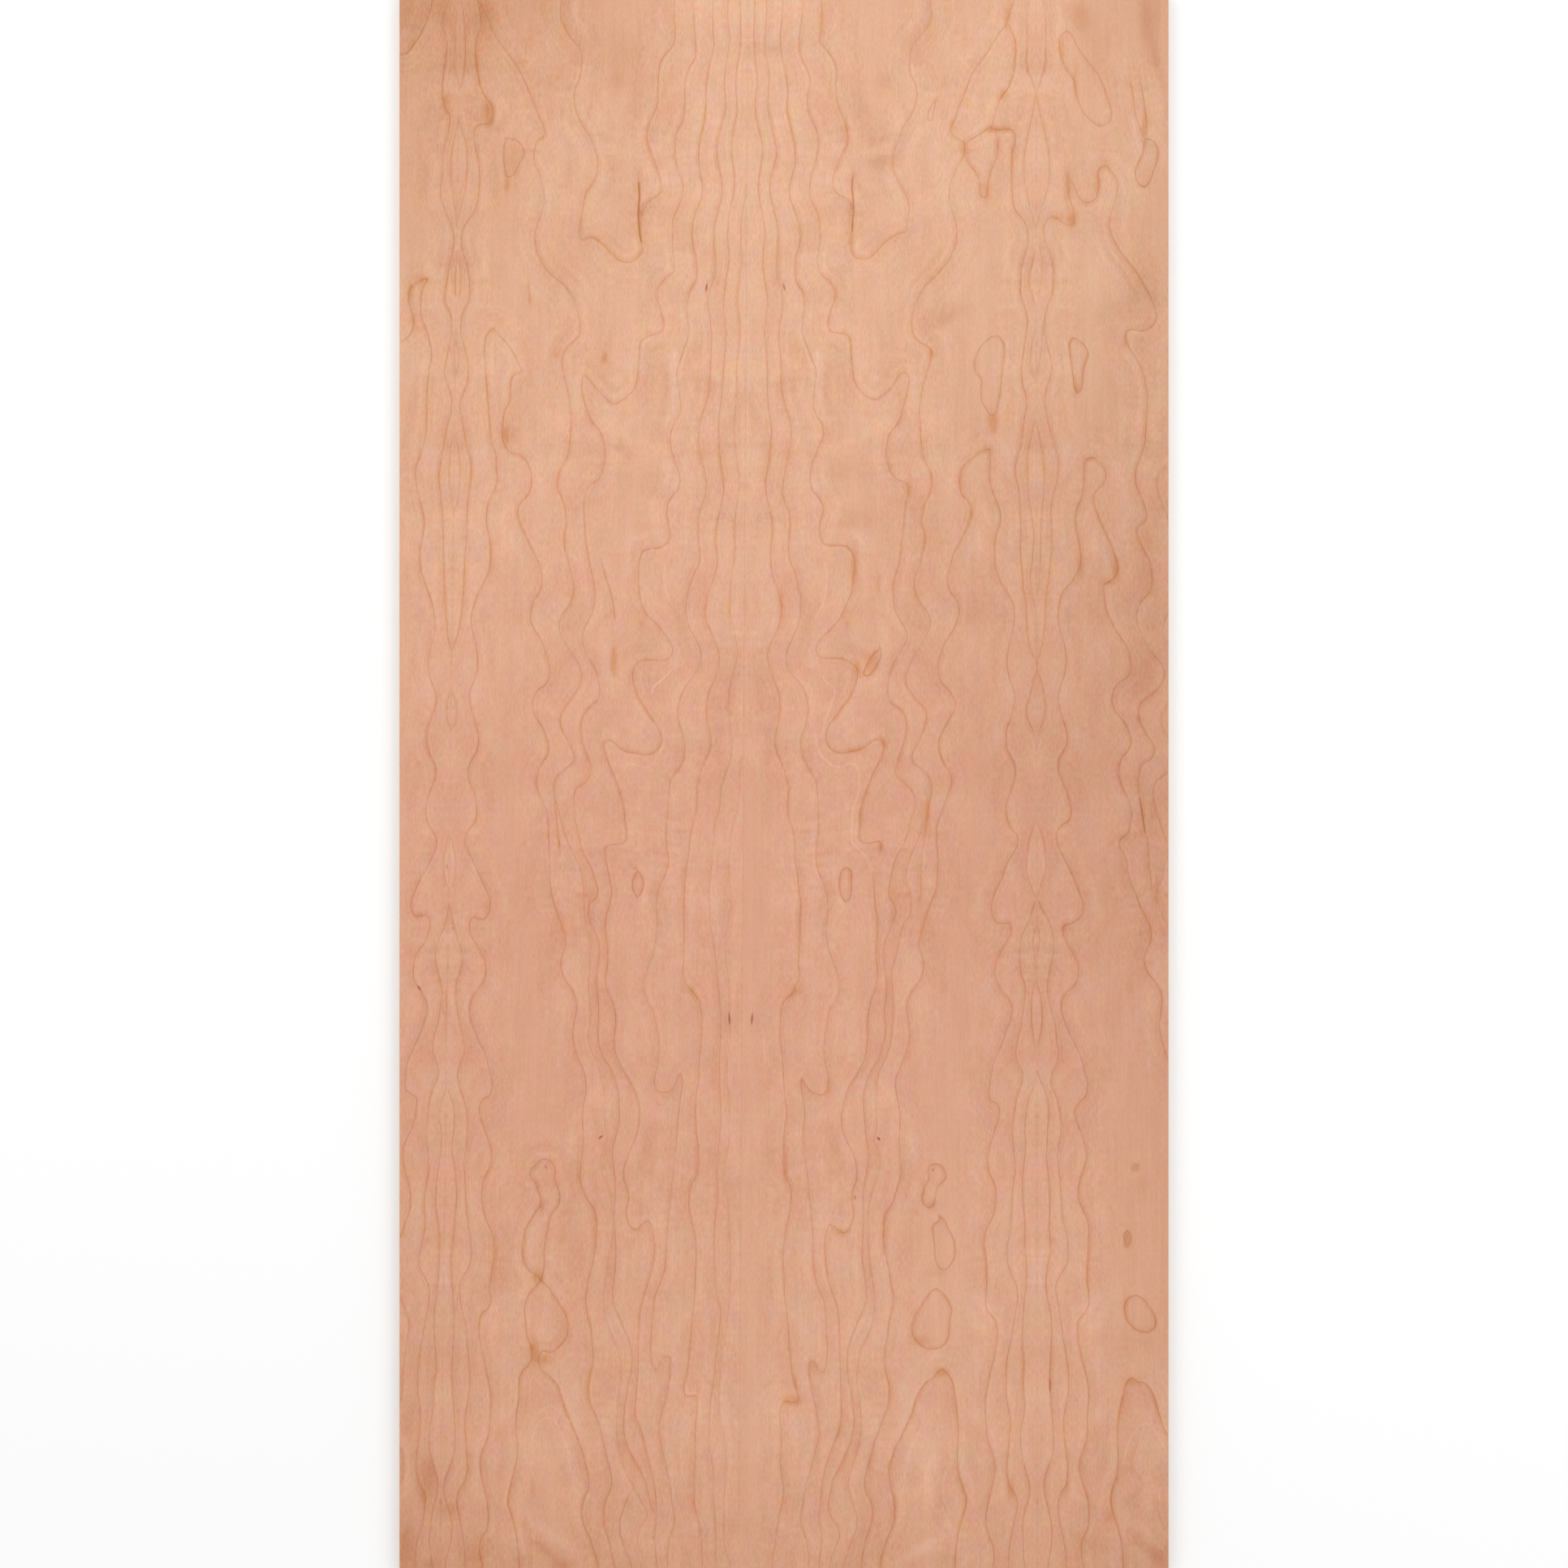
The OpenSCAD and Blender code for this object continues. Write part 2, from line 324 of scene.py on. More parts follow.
# %% The third leaf's lines
LEAF_3 = [
    ("line", 0.9, "left", (
        "930,-6 930,20 929,40 930,58 931,76 933,91 933,109 931,125 932,145 935,158 938,171 940,181 939,194"
        " 937,209 935,225 935,237 937,250 940,263 942,276 943,291 941,307 940,322 941,335 943,348 945,360"
        " 946,373 944,394 942,410 944,425 945,440 946,458 946,489 948,507 950,520 951,530 950,546 949,558"
        " 947,571 945,584 943,597 944,607 946,617 949,628 951,640 952,653 951,666 950,679 950,692 951,705"
        " 954,715 958,725 961,735 963,746 963,758 960,770 956,780 951,790 947,800 946,810 948,820 952,833"
        " 957,846 960,856 961,869 960,882 958,895 956,905 955,915 957,925 962,938 967,950 970,961 972,972"
        " 971,987 971,1000 973,1010 977,1023 979,1033 980,1059 982,1074 984,1090 986,1105 987,1118 986,1131"
        " 986,1146 985,1170 984,1188 985,1198 984,1208 980,1216 976,1225 971,1229 966,1234 964,1241 962,1254"
        " 962,1285 964,1300 966,1334 967,1349 969,1364 969,1377 967,1390 966,1423 966,1439 968,1449 972,1457"
        " 975,1467 975,1477 974,1490 971,1503 968,1517 966,1531 965,1542 966,1575 967,1596 969,1611 971,1627"
        " 973,1663 975,1680 977,1696 980,1707 983,1716 983,1727 976,1728 967,1727 963,1732 961,1740 962,1755"
        " 963,1770 962,1806 964,1821 966,1834 965,1847 962,1860 959,1875 957,1888 955,1903 953,1916 952,1940"
    )),
    ("line", 0.8, "left", (
        "944,-6 945,14 944,32 943,50 943,66 946,78 948,94 947,109 947,137 950,150 953,166 956,178 957,189"
        " 955,201 951,212 949,225 949,235 951,248 954,260 957,273 959,286 959,299 958,314 957,330 958,342"
        " 962,353 964,363 964,378 962,394 960,410 960,422 962,438 963,456 963,474 965,489 969,504 973,517"
        " 975,530 975,538 973,553 970,568 967,584 965,599 965,610 968,620 972,630 974,643 973,656 972,669"
        " 972,681 975,694 980,705 982,715 984,725 987,735 987,748 986,761 983,772 978,784 973,795 970,802"
        " 969,813 972,823 978,833 985,841 991,851 994,861 996,874 994,887 992,897 988,908 987,918 989,931"
        " 994,942 1000,953 1005,961 1007,974 1008,990 1009,1018 1008,1031 1006,1044 1006,1059 1008,1072"
        " 1013,1084 1017,1095 1020,1110 1021,1120 1019,1133 1018,1149 1020,1164 1025,1180 1030,1193"
        " 1034,1206 1035,1216 1033,1227 1028,1236 1023,1244 1020,1257 1018,1270 1016,1282 1015,1295"
        " 1017,1311 1020,1323 1021,1334 1019,1344 1014,1349 1007,1348 1000,1345 995,1340 991,1334 988,1328"
        " 987,1338 989,1349 991,1362 992,1375 990,1388 990,1403 992,1421 994,1439 996,1454 997,1470 999,1485"
        " 1000,1503 1002,1520 1002,1555 1004,1570 1008,1585 1014,1598 1017,1611 1019,1645 1019,1675"
        " 1017,1686 1014,1692 1009,1688 1004,1680 999,1677 997,1683 998,1698 1001,1716 1005,1732 1009,1757"
        " 1010,1768 1007,1780 1003,1796 999,1811 995,1824 992,1839 989,1857 987,1875 990,1886 994,1896"
        " 996,1910 997,1940"
    )),
    ("line", 1.05, "left", (
        "965,-6 964,20 962,40 962,55 964,71 967,84 969,96 971,112 970,137 973,150 976,163 979,176 980,189"
        " 980,204 977,214 974,225 973,235 974,245 978,255 982,266 985,278 986,291 985,304 981,314 980,327"
        " 980,340 983,350 988,358 991,368 991,383 989,396 989,410 992,420 996,430 1001,443 1005,453 1006,464"
        " 1004,476 1003,489 1003,502 1006,511 1011,519 1014,526 1014,537 1010,548 1005,561 1001,571 999,584"
        " 999,597 1002,605 1008,612 1013,620 1015,628 1012,638 1010,651 1011,661 1015,669 1021,672 1032,672"
        " 1042,673 1049,679 1053,689 1053,702 1051,715 1050,728 1045,740 1040,753 1033,765 1022,777"
        " 1013,786 1007,795 1006,802 1010,809 1021,811 1032,811 1044,814 1050,818 1056,823 1057,831 1055,840"
        " 1050,853 1044,864 1036,874 1028,885 1021,895 1018,905 1019,915 1026,924 1035,928 1048,926 1060,923"
        " 1069,918 1077,912 1085,911 1089,917 1088,928 1084,938 1077,951 1072,964 1067,977 1063,990 1060,1003"
        " 1060,1018 1059,1031 1062,1037 1073,1039 1084,1037 1086,1042 1085,1052"
    )),
    ("line", 1.0, "left", (
        "1076,1078 1077,1092 1078,1110 1081,1130 1081,1157 1080,1175 1081,1208 1078,1221 1073,1234 1071,1244"
        " 1069,1260 1069,1280 1068,1293 1065,1306 1060,1316 1055,1326 1048,1336 1043,1349 1039,1362"
        " 1037,1377 1038,1390 1042,1403 1049,1416 1054,1429 1056,1444 1055,1457 1051,1467 1050,1480"
        " 1052,1493 1050,1506 1045,1516 1040,1519 1034,1516 1027,1511 1022,1509 1019,1517 1017,1532"
        " 1017,1547 1019,1565 1022,1580 1027,1596 1032,1611 1034,1627 1035,1663 1036,1701 1037,1732"
        " 1037,1747 1035,1760 1030,1773 1025,1786 1021,1798 1017,1811 1014,1824 1012,1842 1011,1860"
        " 1009,1873 1012,1886 1013,1898 1011,1911 1009,1940"
    )),
    ("line", 0.9, "left", (
        "987,-6 989,9 988,25 986,40 985,53 986,66 990,76 995,86 998,96 997,109 995,122 996,135 999,145"
        " 1004,155 1008,166 1009,178 1007,191 1003,207 999,219 998,232 999,243 1004,255 1009,267 1010,278"
        " 1011,294 1009,309 1007,322 1009,332 1014,340 1022,346 1027,355 1029,363 1027,373 1023,386"
        " 1021,402 1024,408 1030,410 1039,411 1046,415 1048,423 1049,438 1051,453 1053,469 1059,480"
        " 1068,488 1079,492 1087,488 1096,480 1103,471 1109,462 1115,458 1119,462 1120,474 1117,487"
        " 1113,502 1109,517 1101,529 1095,537 1093,548 1092,561 1095,574 1099,584 1105,590 1114,594"
        " 1119,598 1120,607 1117,617 1115,630 1114,646 1112,661 1110,679 1108,694 1104,707 1101,720"
        " 1101,735 1103,751 1107,760 1112,768 1116,776 1118,785 1114,795 1109,805 1103,815 1098,826"
        " 1095,838 1094,849 1095,859 1099,867 1107,872 1114,880 1117,890 1117,903 1114,915 1110,928"
        " 1106,941 1104,954 1107,959 1114,964 1122,972 1127,980 1128,990 1126,1000 1122,1010 1121,1020"
        " 1117,1031 1112,1044 1105,1056 1101,1067 1098,1080 1096,1092 1096,1103 1101,1113 1104,1123"
        " 1100,1136 1094,1152 1090,1165 1089,1182 1091,1200 1093,1216 1092,1229 1090,1244 1091,1265"
        " 1090,1280 1087,1290 1084,1300 1079,1311 1073,1321 1069,1331 1065,1344 1064,1357 1065,1370"
        " 1066,1385 1067,1400 1070,1416 1070,1429 1068,1444 1066,1457 1064,1472 1064,1490 1063,1537"
        " 1063,1555 1066,1573 1067,1603 1064,1614 1059,1624 1054,1637 1049,1650 1045,1665 1044,1680"
        " 1045,1696 1049,1714 1051,1732 1053,1750 1051,1765 1049,1775 1044,1788 1040,1798 1035,1809"
        " 1028,1821 1025,1832 1022,1847 1021,1860 1025,1870 1030,1878 1034,1886 1034,1896 1030,1906"
        " 1025,1920 1022,1940"
    )),
    ("line", 0.8, "right", (
        "1147,-6 1147,9 1149,20 1145,30 1139,39 1131,48 1125,55 1122,66 1121,78 1122,91 1127,101 1130,112"
        " 1130,122 1127,132 1122,143 1114,155 1108,171 1103,184 1101,199 1103,214 1108,225 1114,235"
        " 1119,248 1120,260 1118,273 1117,285 1109,287 1099,292 1089,300 1081,309 1072,317 1063,319"
        " 1054,317 1050,310 1048,301 1050,286 1051,271 1050,255 1044,245 1036,241 1029,235 1026,227"
        " 1028,214 1032,203 1037,191 1043,180 1045,170 1044,160 1041,150 1037,140 1032,127 1030,112 1030,81"
        " 1027,73 1022,66 1016,58 1011,53 1011,40 1013,27 1013,12 1011,-6"
    )),
    ("line", 0.9, "right", (
        "1250,-2 1246,10 1240,30 1232,40 1225,51 1217,64 1208,76 1201,86 1196,96 1191,109 1186,122 1181,133"
        " 1178,145 1173,154 1171,160 1175,167 1181,171 1187,175 1189,182 1187,191 1182,201 1177,212"
        " 1173,222 1170,235 1170,248 1173,260 1177,271 1179,281 1179,291 1177,303 1173,313 1167,324"
        " 1160,332 1153,341 1144,348 1139,354 1134,363 1130,373 1126,383 1124,394 1124,407 1128,416"
        " 1136,423 1144,427 1148,433 1147,442 1144,453 1140,466 1137,476 1135,492 1133,507 1134,522"
        " 1137,556 1140,568 1145,578 1148,587 1148,597 1145,610 1140,620 1137,633 1136,646 1139,656"
        " 1140,666 1137,679 1134,694 1129,707 1127,720 1128,730 1133,740 1140,750 1145,759 1146,770"
        " 1141,784 1134,796 1126,809 1121,820 1116,833 1117,843 1123,854 1131,864 1140,874 1142,884"
        " 1139,897 1134,910 1127,923 1124,932 1127,941 1135,947 1143,955 1147,965 1148,977 1145,990"
        " 1143,1003 1141,1018 1139,1033 1137,1046"
    )),
    ("line", 0.5, "right", "1137,1046 1136,1060 1135,1080 1135,1097 1132,1118"),
    ("line", 0.7, "right", (
        "1138,1010 1133,1030 1126,1046 1120,1061 1117,1077 1118,1090 1122,1100 1123,1113 1122,1126 1113,1140"
        " 1108,1160 1104,1178 1099,1195 1100,1220 1100,1262 1098,1280 1094,1298 1088,1312 1082,1326"
        " 1081,1350 1080,1372 1080,1395 1077,1404 1083,1418 1085,1432 1083,1444 1079,1456 1074,1470"
        " 1071,1486 1070,1520 1071,1548 1075,1575 1078,1595 1078,1612 1075,1630 1067,1650 1060,1668"
        " 1057,1685 1056,1703 1059,1725 1061,1745 1060,1770 1056,1790 1050,1808 1045,1828 1049,1845"
        " 1053,1858 1056,1870 1055,1885 1049,1900 1042,1920 1039,1940"
    )),
    ("line", 1.0, "right", arch(
        "1219,553 1215,554 1208,557 1199,564 1191,570 1186,577 1183,587 1183,599 1186,610 1192,616 1196,623"
        " 1197,633 1194,643 1189,656 1182,669 1176,681 1171,697 1168,710 1168,720 1172,730 1178,738"
        " 1182,748 1181,761 1177,772 1171,782 1164,793 1160,806 1156,820 1157,831 1160,841 1168,849"
        " 1174,858 1177,867 1175,877 1169,887 1163,899 1158,910 1157,920 1159,931 1164,942 1171,953"
        " 1173,963 1169,977 1164,990 1159,1003 1155,1015 1154,1031 1155,1046 1156,1064 1155,1080 1154,1095"
        " 1149,1108 1144,1120 1139,1136 1134,1154 1132,1165 1137,1180 1138,1193 1135,1206 1128,1216"
        " 1122,1225 1118,1236 1118,1249 1120,1262 1121,1277 1119,1290 1114,1303 1109,1316 1104,1329"
        " 1104,1341 1106,1354 1109,1370 1109,1388 1108,1403 1109,1421 1109,1454 1105,1467 1101,1480"
        " 1095,1490 1090,1498 1089,1511 1089,1526 1092,1550 1096,1565 1098,1580 1101,1596 1100,1611"
        " 1096,1627 1094,1645 1091,1663 1090,1678 1092,1691 1095,1703 1096,1719 1093,1737 1087,1752"
        " 1081,1768 1077,1780 1074,1793 1069,1809 1066,1824 1067,1837 1072,1847 1075,1857 1075,1873"
        " 1071,1886 1067,1898 1064,1911 1061,1940",
        "1219,553 1220,558 1220,592 1223,605 1227,615 1231,625 1233,635 1232,646 1228,656 1226,669"
        " 1226,684 1227,699 1231,712 1236,722 1243,733 1248,743 1250,753 1249,772 1246,785 1243,797"
        " 1241,813 1242,826 1245,838 1249,849 1251,859 1249,872 1246,885 1241,897 1240,910 1241,923"
        " 1246,933 1251,943 1251,956 1248,969 1243,982 1240,995 1241,1008 1246,1020 1254,1031 1254,1040"
        " 1249,1051 1241,1064 1236,1079 1230,1092 1225,1103 1222,1115 1223,1127 1228,1136 1236,1138"
        " 1244,1137 1246,1143 1246,1150 1241,1160 1234,1172 1228,1185 1226,1200 1230,1213 1236,1223"
        " 1243,1231 1247,1241 1245,1257 1239,1272 1234,1288 1227,1303 1223,1318 1220,1334 1219,1347"
        " 1222,1357 1228,1359 1231,1364 1231,1377 1227,1390 1222,1405 1218,1421 1217,1434 1220,1447"
        " 1225,1457 1227,1470 1227,1482 1225,1495 1220,1506 1215,1516 1213,1534 1215,1550 1216,1585"
        " 1215,1601 1216,1614 1222,1621 1227,1629 1229,1639 1228,1655 1225,1673 1221,1688 1218,1703"
        " 1215,1719 1214,1734 1215,1752 1216,1768 1219,1780 1223,1791 1226,1803 1226,1816 1223,1829"
        " 1220,1842 1216,1860 1215,1878 1218,1891 1223,1903 1225,1916 1222,1940"
    )),
    ("line", 1.0, "right", (
        "1248,10 1241,25 1245,35 1250,46 1252,58 1251,71 1250,84 1247,96 1242,109 1236,117 1231,125"
        " 1228,135 1225,145 1222,155 1217,159 1210,163 1203,168 1195,173 1190,177"
    )),
    ("line", 1.0, "right", (
        "1222,158 1230,160 1238,159 1246,160 1251,166 1251,175 1248,186 1247,201 1247,232 1248,248 1251,259"
        " 1258,267 1264,276 1267,289 1266,301 1263,314 1259,330 1258,348 1258,363 1262,376 1266,391"
        " 1265,410 1262,428 1260,443 1259,461 1260,474 1264,487 1265,499 1262,517 1260,535 1258,551"
        " 1253,566 1251,581 1254,597 1256,612 1257,630 1258,651 1258,689 1260,707 1261,725 1264,740"
        " 1265,756 1266,777 1268,792 1272,805 1276,815"
    )),
    ("line", 0.9, "right", "1231,170 1229,183 1227,196 1221,212 1217,230 1214,244 1209,241 1208,225 1204,214 1196,204 1190,191"),
    ("line", 0.8, "right", (
        "1270,-6 1266,20 1266,55 1265,76 1268,91 1273,101 1276,114 1273,137 1269,155 1266,171 1263,186"
        " 1262,209 1263,225 1266,240 1269,255 1273,271 1275,283"
    )),
    ("line", 1.1, "right", "1275,310 1272,325 1269,337 1269,353 1273,366 1276,380"),
    ("line", 1.0, "right", "1275,408 1273,418 1271,430 1270,446 1272,460 1275,467"),
    ("line", 0.8, "right", (
        "1276,514 1274,524 1271,538 1267,556 1266,576 1267,597 1268,617 1272,640 1274,661 1273,679"
        " 1272,694 1270,707 1271,725 1274,740 1276,755"
    )),
    ("line", 0.8, "right", "1276,828 1273,843 1268,861 1265,874 1268,890 1273,899 1276,908"),
    ("line", 0.9, "right", "1275,1010 1272,1023 1268,1036 1266,1051 1265,1067 1267,1082 1272,1095 1276,1106"),
    ("line", 0.9, "right", (
        "1276,1108 1272,1123 1267,1138 1259,1154 1257,1167 1257,1188 1259,1203 1263,1213 1263,1229"
        " 1260,1249 1258,1267 1254,1282 1252,1298 1255,1311 1260,1321 1259,1334 1254,1349 1251,1367"
        " 1248,1385 1248,1403 1250,1424 1251,1444 1248,1464 1247,1490 1245,1516 1241,1542 1243,1560"
        " 1248,1573 1253,1586 1254,1601 1251,1619 1245,1655 1241,1675 1240,1696 1240,1719 1245,1750"
        " 1244,1770 1242,1793 1241,1819 1245,1832 1251,1842 1254,1852 1251,1870 1248,1886 1244,1906 1243,1940"
    )),
    ("line", 0.9, "right", (
        "1276,1334 1272,1344 1267,1357 1265,1372 1263,1390 1264,1408 1263,1426 1261,1444 1260,1464"
        " 1261,1485 1263,1503 1263,1537 1265,1560 1265,1578 1263,1596 1260,1640 1260,1657 1262,1678"
        " 1261,1698 1262,1742 1258,1762 1258,1783 1260,1798 1265,1816 1269,1832 1268,1847 1263,1862"
        " 1260,1880 1261,1896 1261,1914 1265,1940"
    )),
    ("line", 1.0, "right", "1276,1207 1272,1226 1271,1252 1273,1275 1276,1295"),
    ("line", 1.0, "right", "1276,1140 1273,1162 1275,1177 1275,1198"),
    ("line", 1.0, "right", (
        "1230,414 1236,421 1238,435 1236,451 1234,466 1233,481 1230,497 1226,510 1222,512 1216,505 1210,494"
        " 1209,481 1209,466 1204,461 1201,451 1203,439 1207,430 1214,421 1223,415 1230,414"
    )),
    ("line", 0.7, "right", "1153,123 1148,130 1144,140 1144,148 1148,148 1150,140 1152,131 1153,123"),
    ("line", 1.4, "right", (
        "1085,800 1086,806 1083,815 1076,827 1069,833 1064,831 1067,823 1072,813 1078,804 1085,800"
    )),
    ("line", 1.5, "right", (
        "1042,1069 1048,1072 1049,1084 1049,1097 1046,1109 1042,1111 1038,1106 1035,1095 1035,1082 1038,1072"
        " 1042,1069"
    )),
    ("line", 1.05, "right", (
        "1152,1434 1159,1436 1164,1443 1166,1449 1162,1456 1156,1462 1153,1475 1151,1483 1146,1488 1140,1485"
        " 1136,1477 1138,1470 1141,1459 1145,1452 1144,1444 1145,1437 1152,1434"
    )),
    ("line", 1.1, "right", (
        "1160,1500 1164,1504 1168,1513 1172,1520 1176,1532 1177,1542 1175,1552 1169,1561 1163,1565"
        " 1157,1561 1153,1552 1152,1537 1150,1520 1150,1510 1155,1506 1160,1500"
    )),
    ("line", 1.1, "right", (
        "1154,1588 1162,1594 1169,1604 1173,1614 1171,1624 1170,1637 1168,1650 1162,1658 1150,1662"
        " 1141,1661 1131,1654 1125,1645 1124,1634 1128,1622 1135,1610 1141,1600 1148,1591 1154,1588"
    )),
    ("line", 1.2, "right", arch(
        "1160,1687 1155,1692 1150,1698 1140,1705 1134,1714 1128,1727 1124,1742 1118,1755 1112,1768"
        " 1104,1783 1100,1796 1096,1809 1096,1821 1099,1837 1102,1850 1103,1865 1101,1878 1095,1893"
        " 1090,1906 1086,1920 1084,1940",
        "1160,1687 1167,1692 1173,1701 1176,1714 1178,1729 1180,1747 1181,1768 1180,1788 1180,1803"
        " 1182,1819 1187,1834 1191,1847 1189,1860 1185,1873 1181,1888 1179,1903 1176,1940"
    )),
    ("pale", 0.85, "right", (
        "1005,905 1009,925 1017,936 1026,943 1036,945 1048,941 1054,942 1058,949 1059,961 1058,977"
        " 1054,987 1051,1000 1050,1015 1049,1028 1051,1038 1058,1046 1066,1054 1071,1062"
    )),
    ("pale", 0.9, "right", "1010,828 1018,840 1027,848 1029,856 1024,868 1018,885 1014,896"),
    ("pale", 0.4, "right", "1115,1822 1119,1798 1126,1776 1136,1760 1147,1753 1156,1762 1161,1778"),
    ("line", 0.25, "right", "1163,1768 1168,1796 1160,1820 1160,1846 1168,1866 1176,1880"),
    ("pale", 0.8, "right", "1015,690 1019,705 1018,725 1014,745 1004,762"),
    ("gum", 0.72, "right", "1052,214 1050,228 1051,240 1052,256 1051,272 1050,290"),
]
print("growth lines on the third leaf:", len(LEAF_3))

# %% [markdown]
# ## Neighbouring slices
# Two leaves that meet at a joint were one above the other in the log, opened like a book. So their figures are
# nearly mirror images, but each slice lies 0.6 mm deeper than the last, and a line wanders in that depth. The
# third leaf could be the second one mirrored, in one short line of code. It would look printed, so each leaf is
# read by itself.

# %% The two leaves at the sheet's sides
LEAF_1 = [
    ("line", 1.9, "right", "534,-6 530,15 522,35 510,55 500,66 488,67"),
    ("line", 1.0, "right", (
        "555,-6 548,20 546,30 551,50 550,70 547,90 546,120 550,135 554,142 553,160 547,185 545,215 543,240"
        " 549,260 557,280 560,295 558,310 553,335 549,360 548,370 555,386 557,400 555,420 551,440 548,460"
        " 552,475 557,490 556,505 551,525 547,550 543,570 541,590 543,610 546,640 547,690 549,740 551,770"
        " 553,790 556,802"
    )),
    ("line", 0.5, "right", "566,-6 562,30 561,60 561,85 565,100 567,115"),
    ("line", 0.8, "right", "566,143 563,158 558,180 556,200 556,220 558,240 561,258 563,277"),
    ("line", 1.1, "right", "564,312 562,330 561,345 563,372"),
    ("line", 0.55, "right", "561,410 559,440 561,466"),
    ("line", 0.6, "right", "560,533 556,550 554,575 554,595 556,610 559,633"),
    ("line", 1.0, "right", arch(
        "527,343 518,346 507,353 504,370 507,385 510,397 504,414 493,422 488,424",
        "527,343 521,356 519,375 519,389 524,403 529,418 532,437 528,462 526,490 526,520 523,545 518,562"
        " 513,575 513,595 517,615 521,630 523,645 521,660 518,675 518,695 521,710 526,725 531,738 535,755"
        " 536,775 533,790 529,805 528,825 531,838 536,850 538,862 534,878 528,895 526,915 530,930 536,942"
        " 537,955 533,968 527,985 525,1000 527,1012 532,1022 538,1033 537,1045 533,1055 527,1068 520,1080"
        " 515,1090 510,1102 507,1112 508,1122 512,1129 520,1128 527,1128 530,1136 529,1147 524,1160"
        " 514,1175 510,1190 510,1205 515,1216 521,1225 526,1236 526,1248 522,1262 516,1278 508,1295"
        " 502,1310 500,1328 500,1342 507,1348 513,1352 513,1365 510,1385 503,1400 498,1412 497,1428"
        " 500,1445 504,1460 506,1475 504,1495 499,1508 495,1522 488,1532"
    )),
    ("line", 0.7, "right", "488,1590 495,1602 500,1615 504,1628 503,1645 500,1665 497,1690 495,1720 488,1740"),
    ("line", 0.7, "right", "488,1775 496,1790 498,1805 495,1825 488,1835"),
    ("line", 0.6, "right", "556,850 551,866 551,880 553,893 556,899"),
    ("line", 0.8, "right", "553,1027 550,1045 547,1060 547,1070 549,1085 553,1097"),
    ("line", 0.9, "right", (
        "554,1112 552,1125 549,1138 545,1148 540,1160 537,1180 539,1195 543,1210 545,1220 543,1240 540,1260"
        " 535,1278 534,1295 538,1308 541,1322 538,1332 533,1343 529,1358 527,1380 526,1400 527,1420"
        " 529,1440 525,1460 523,1480 524,1510 521,1530 517,1548 518,1562 523,1573 528,1583 529,1600"
        " 526,1620 522,1640 518,1665 515,1690 515,1715 518,1740 517,1765 514,1790 513,1810 518,1830"
        " 524,1842 524,1855 520,1880 514,1900 512,1940"
    )),
    ("line", 0.9, "right", (
        "551,1338 547,1350 543,1362 542,1380 544,1395 544,1410 542,1430 539,1450 537,1470 537,1485 540,1505"
        " 542,1520 542,1540 541,1560 539,1590 536,1610 535,1640 537,1665 538,1685 535,1705 534,1732"
        " 530,1760 529,1780 534,1805 539,1822 539,1840 534,1858 531,1880 529,1900 531,1915 534,1940"
    )),
    ("line", 1.5, "right", "550,1222 551,1240 553,1255 552,1270 551,1280"),
]
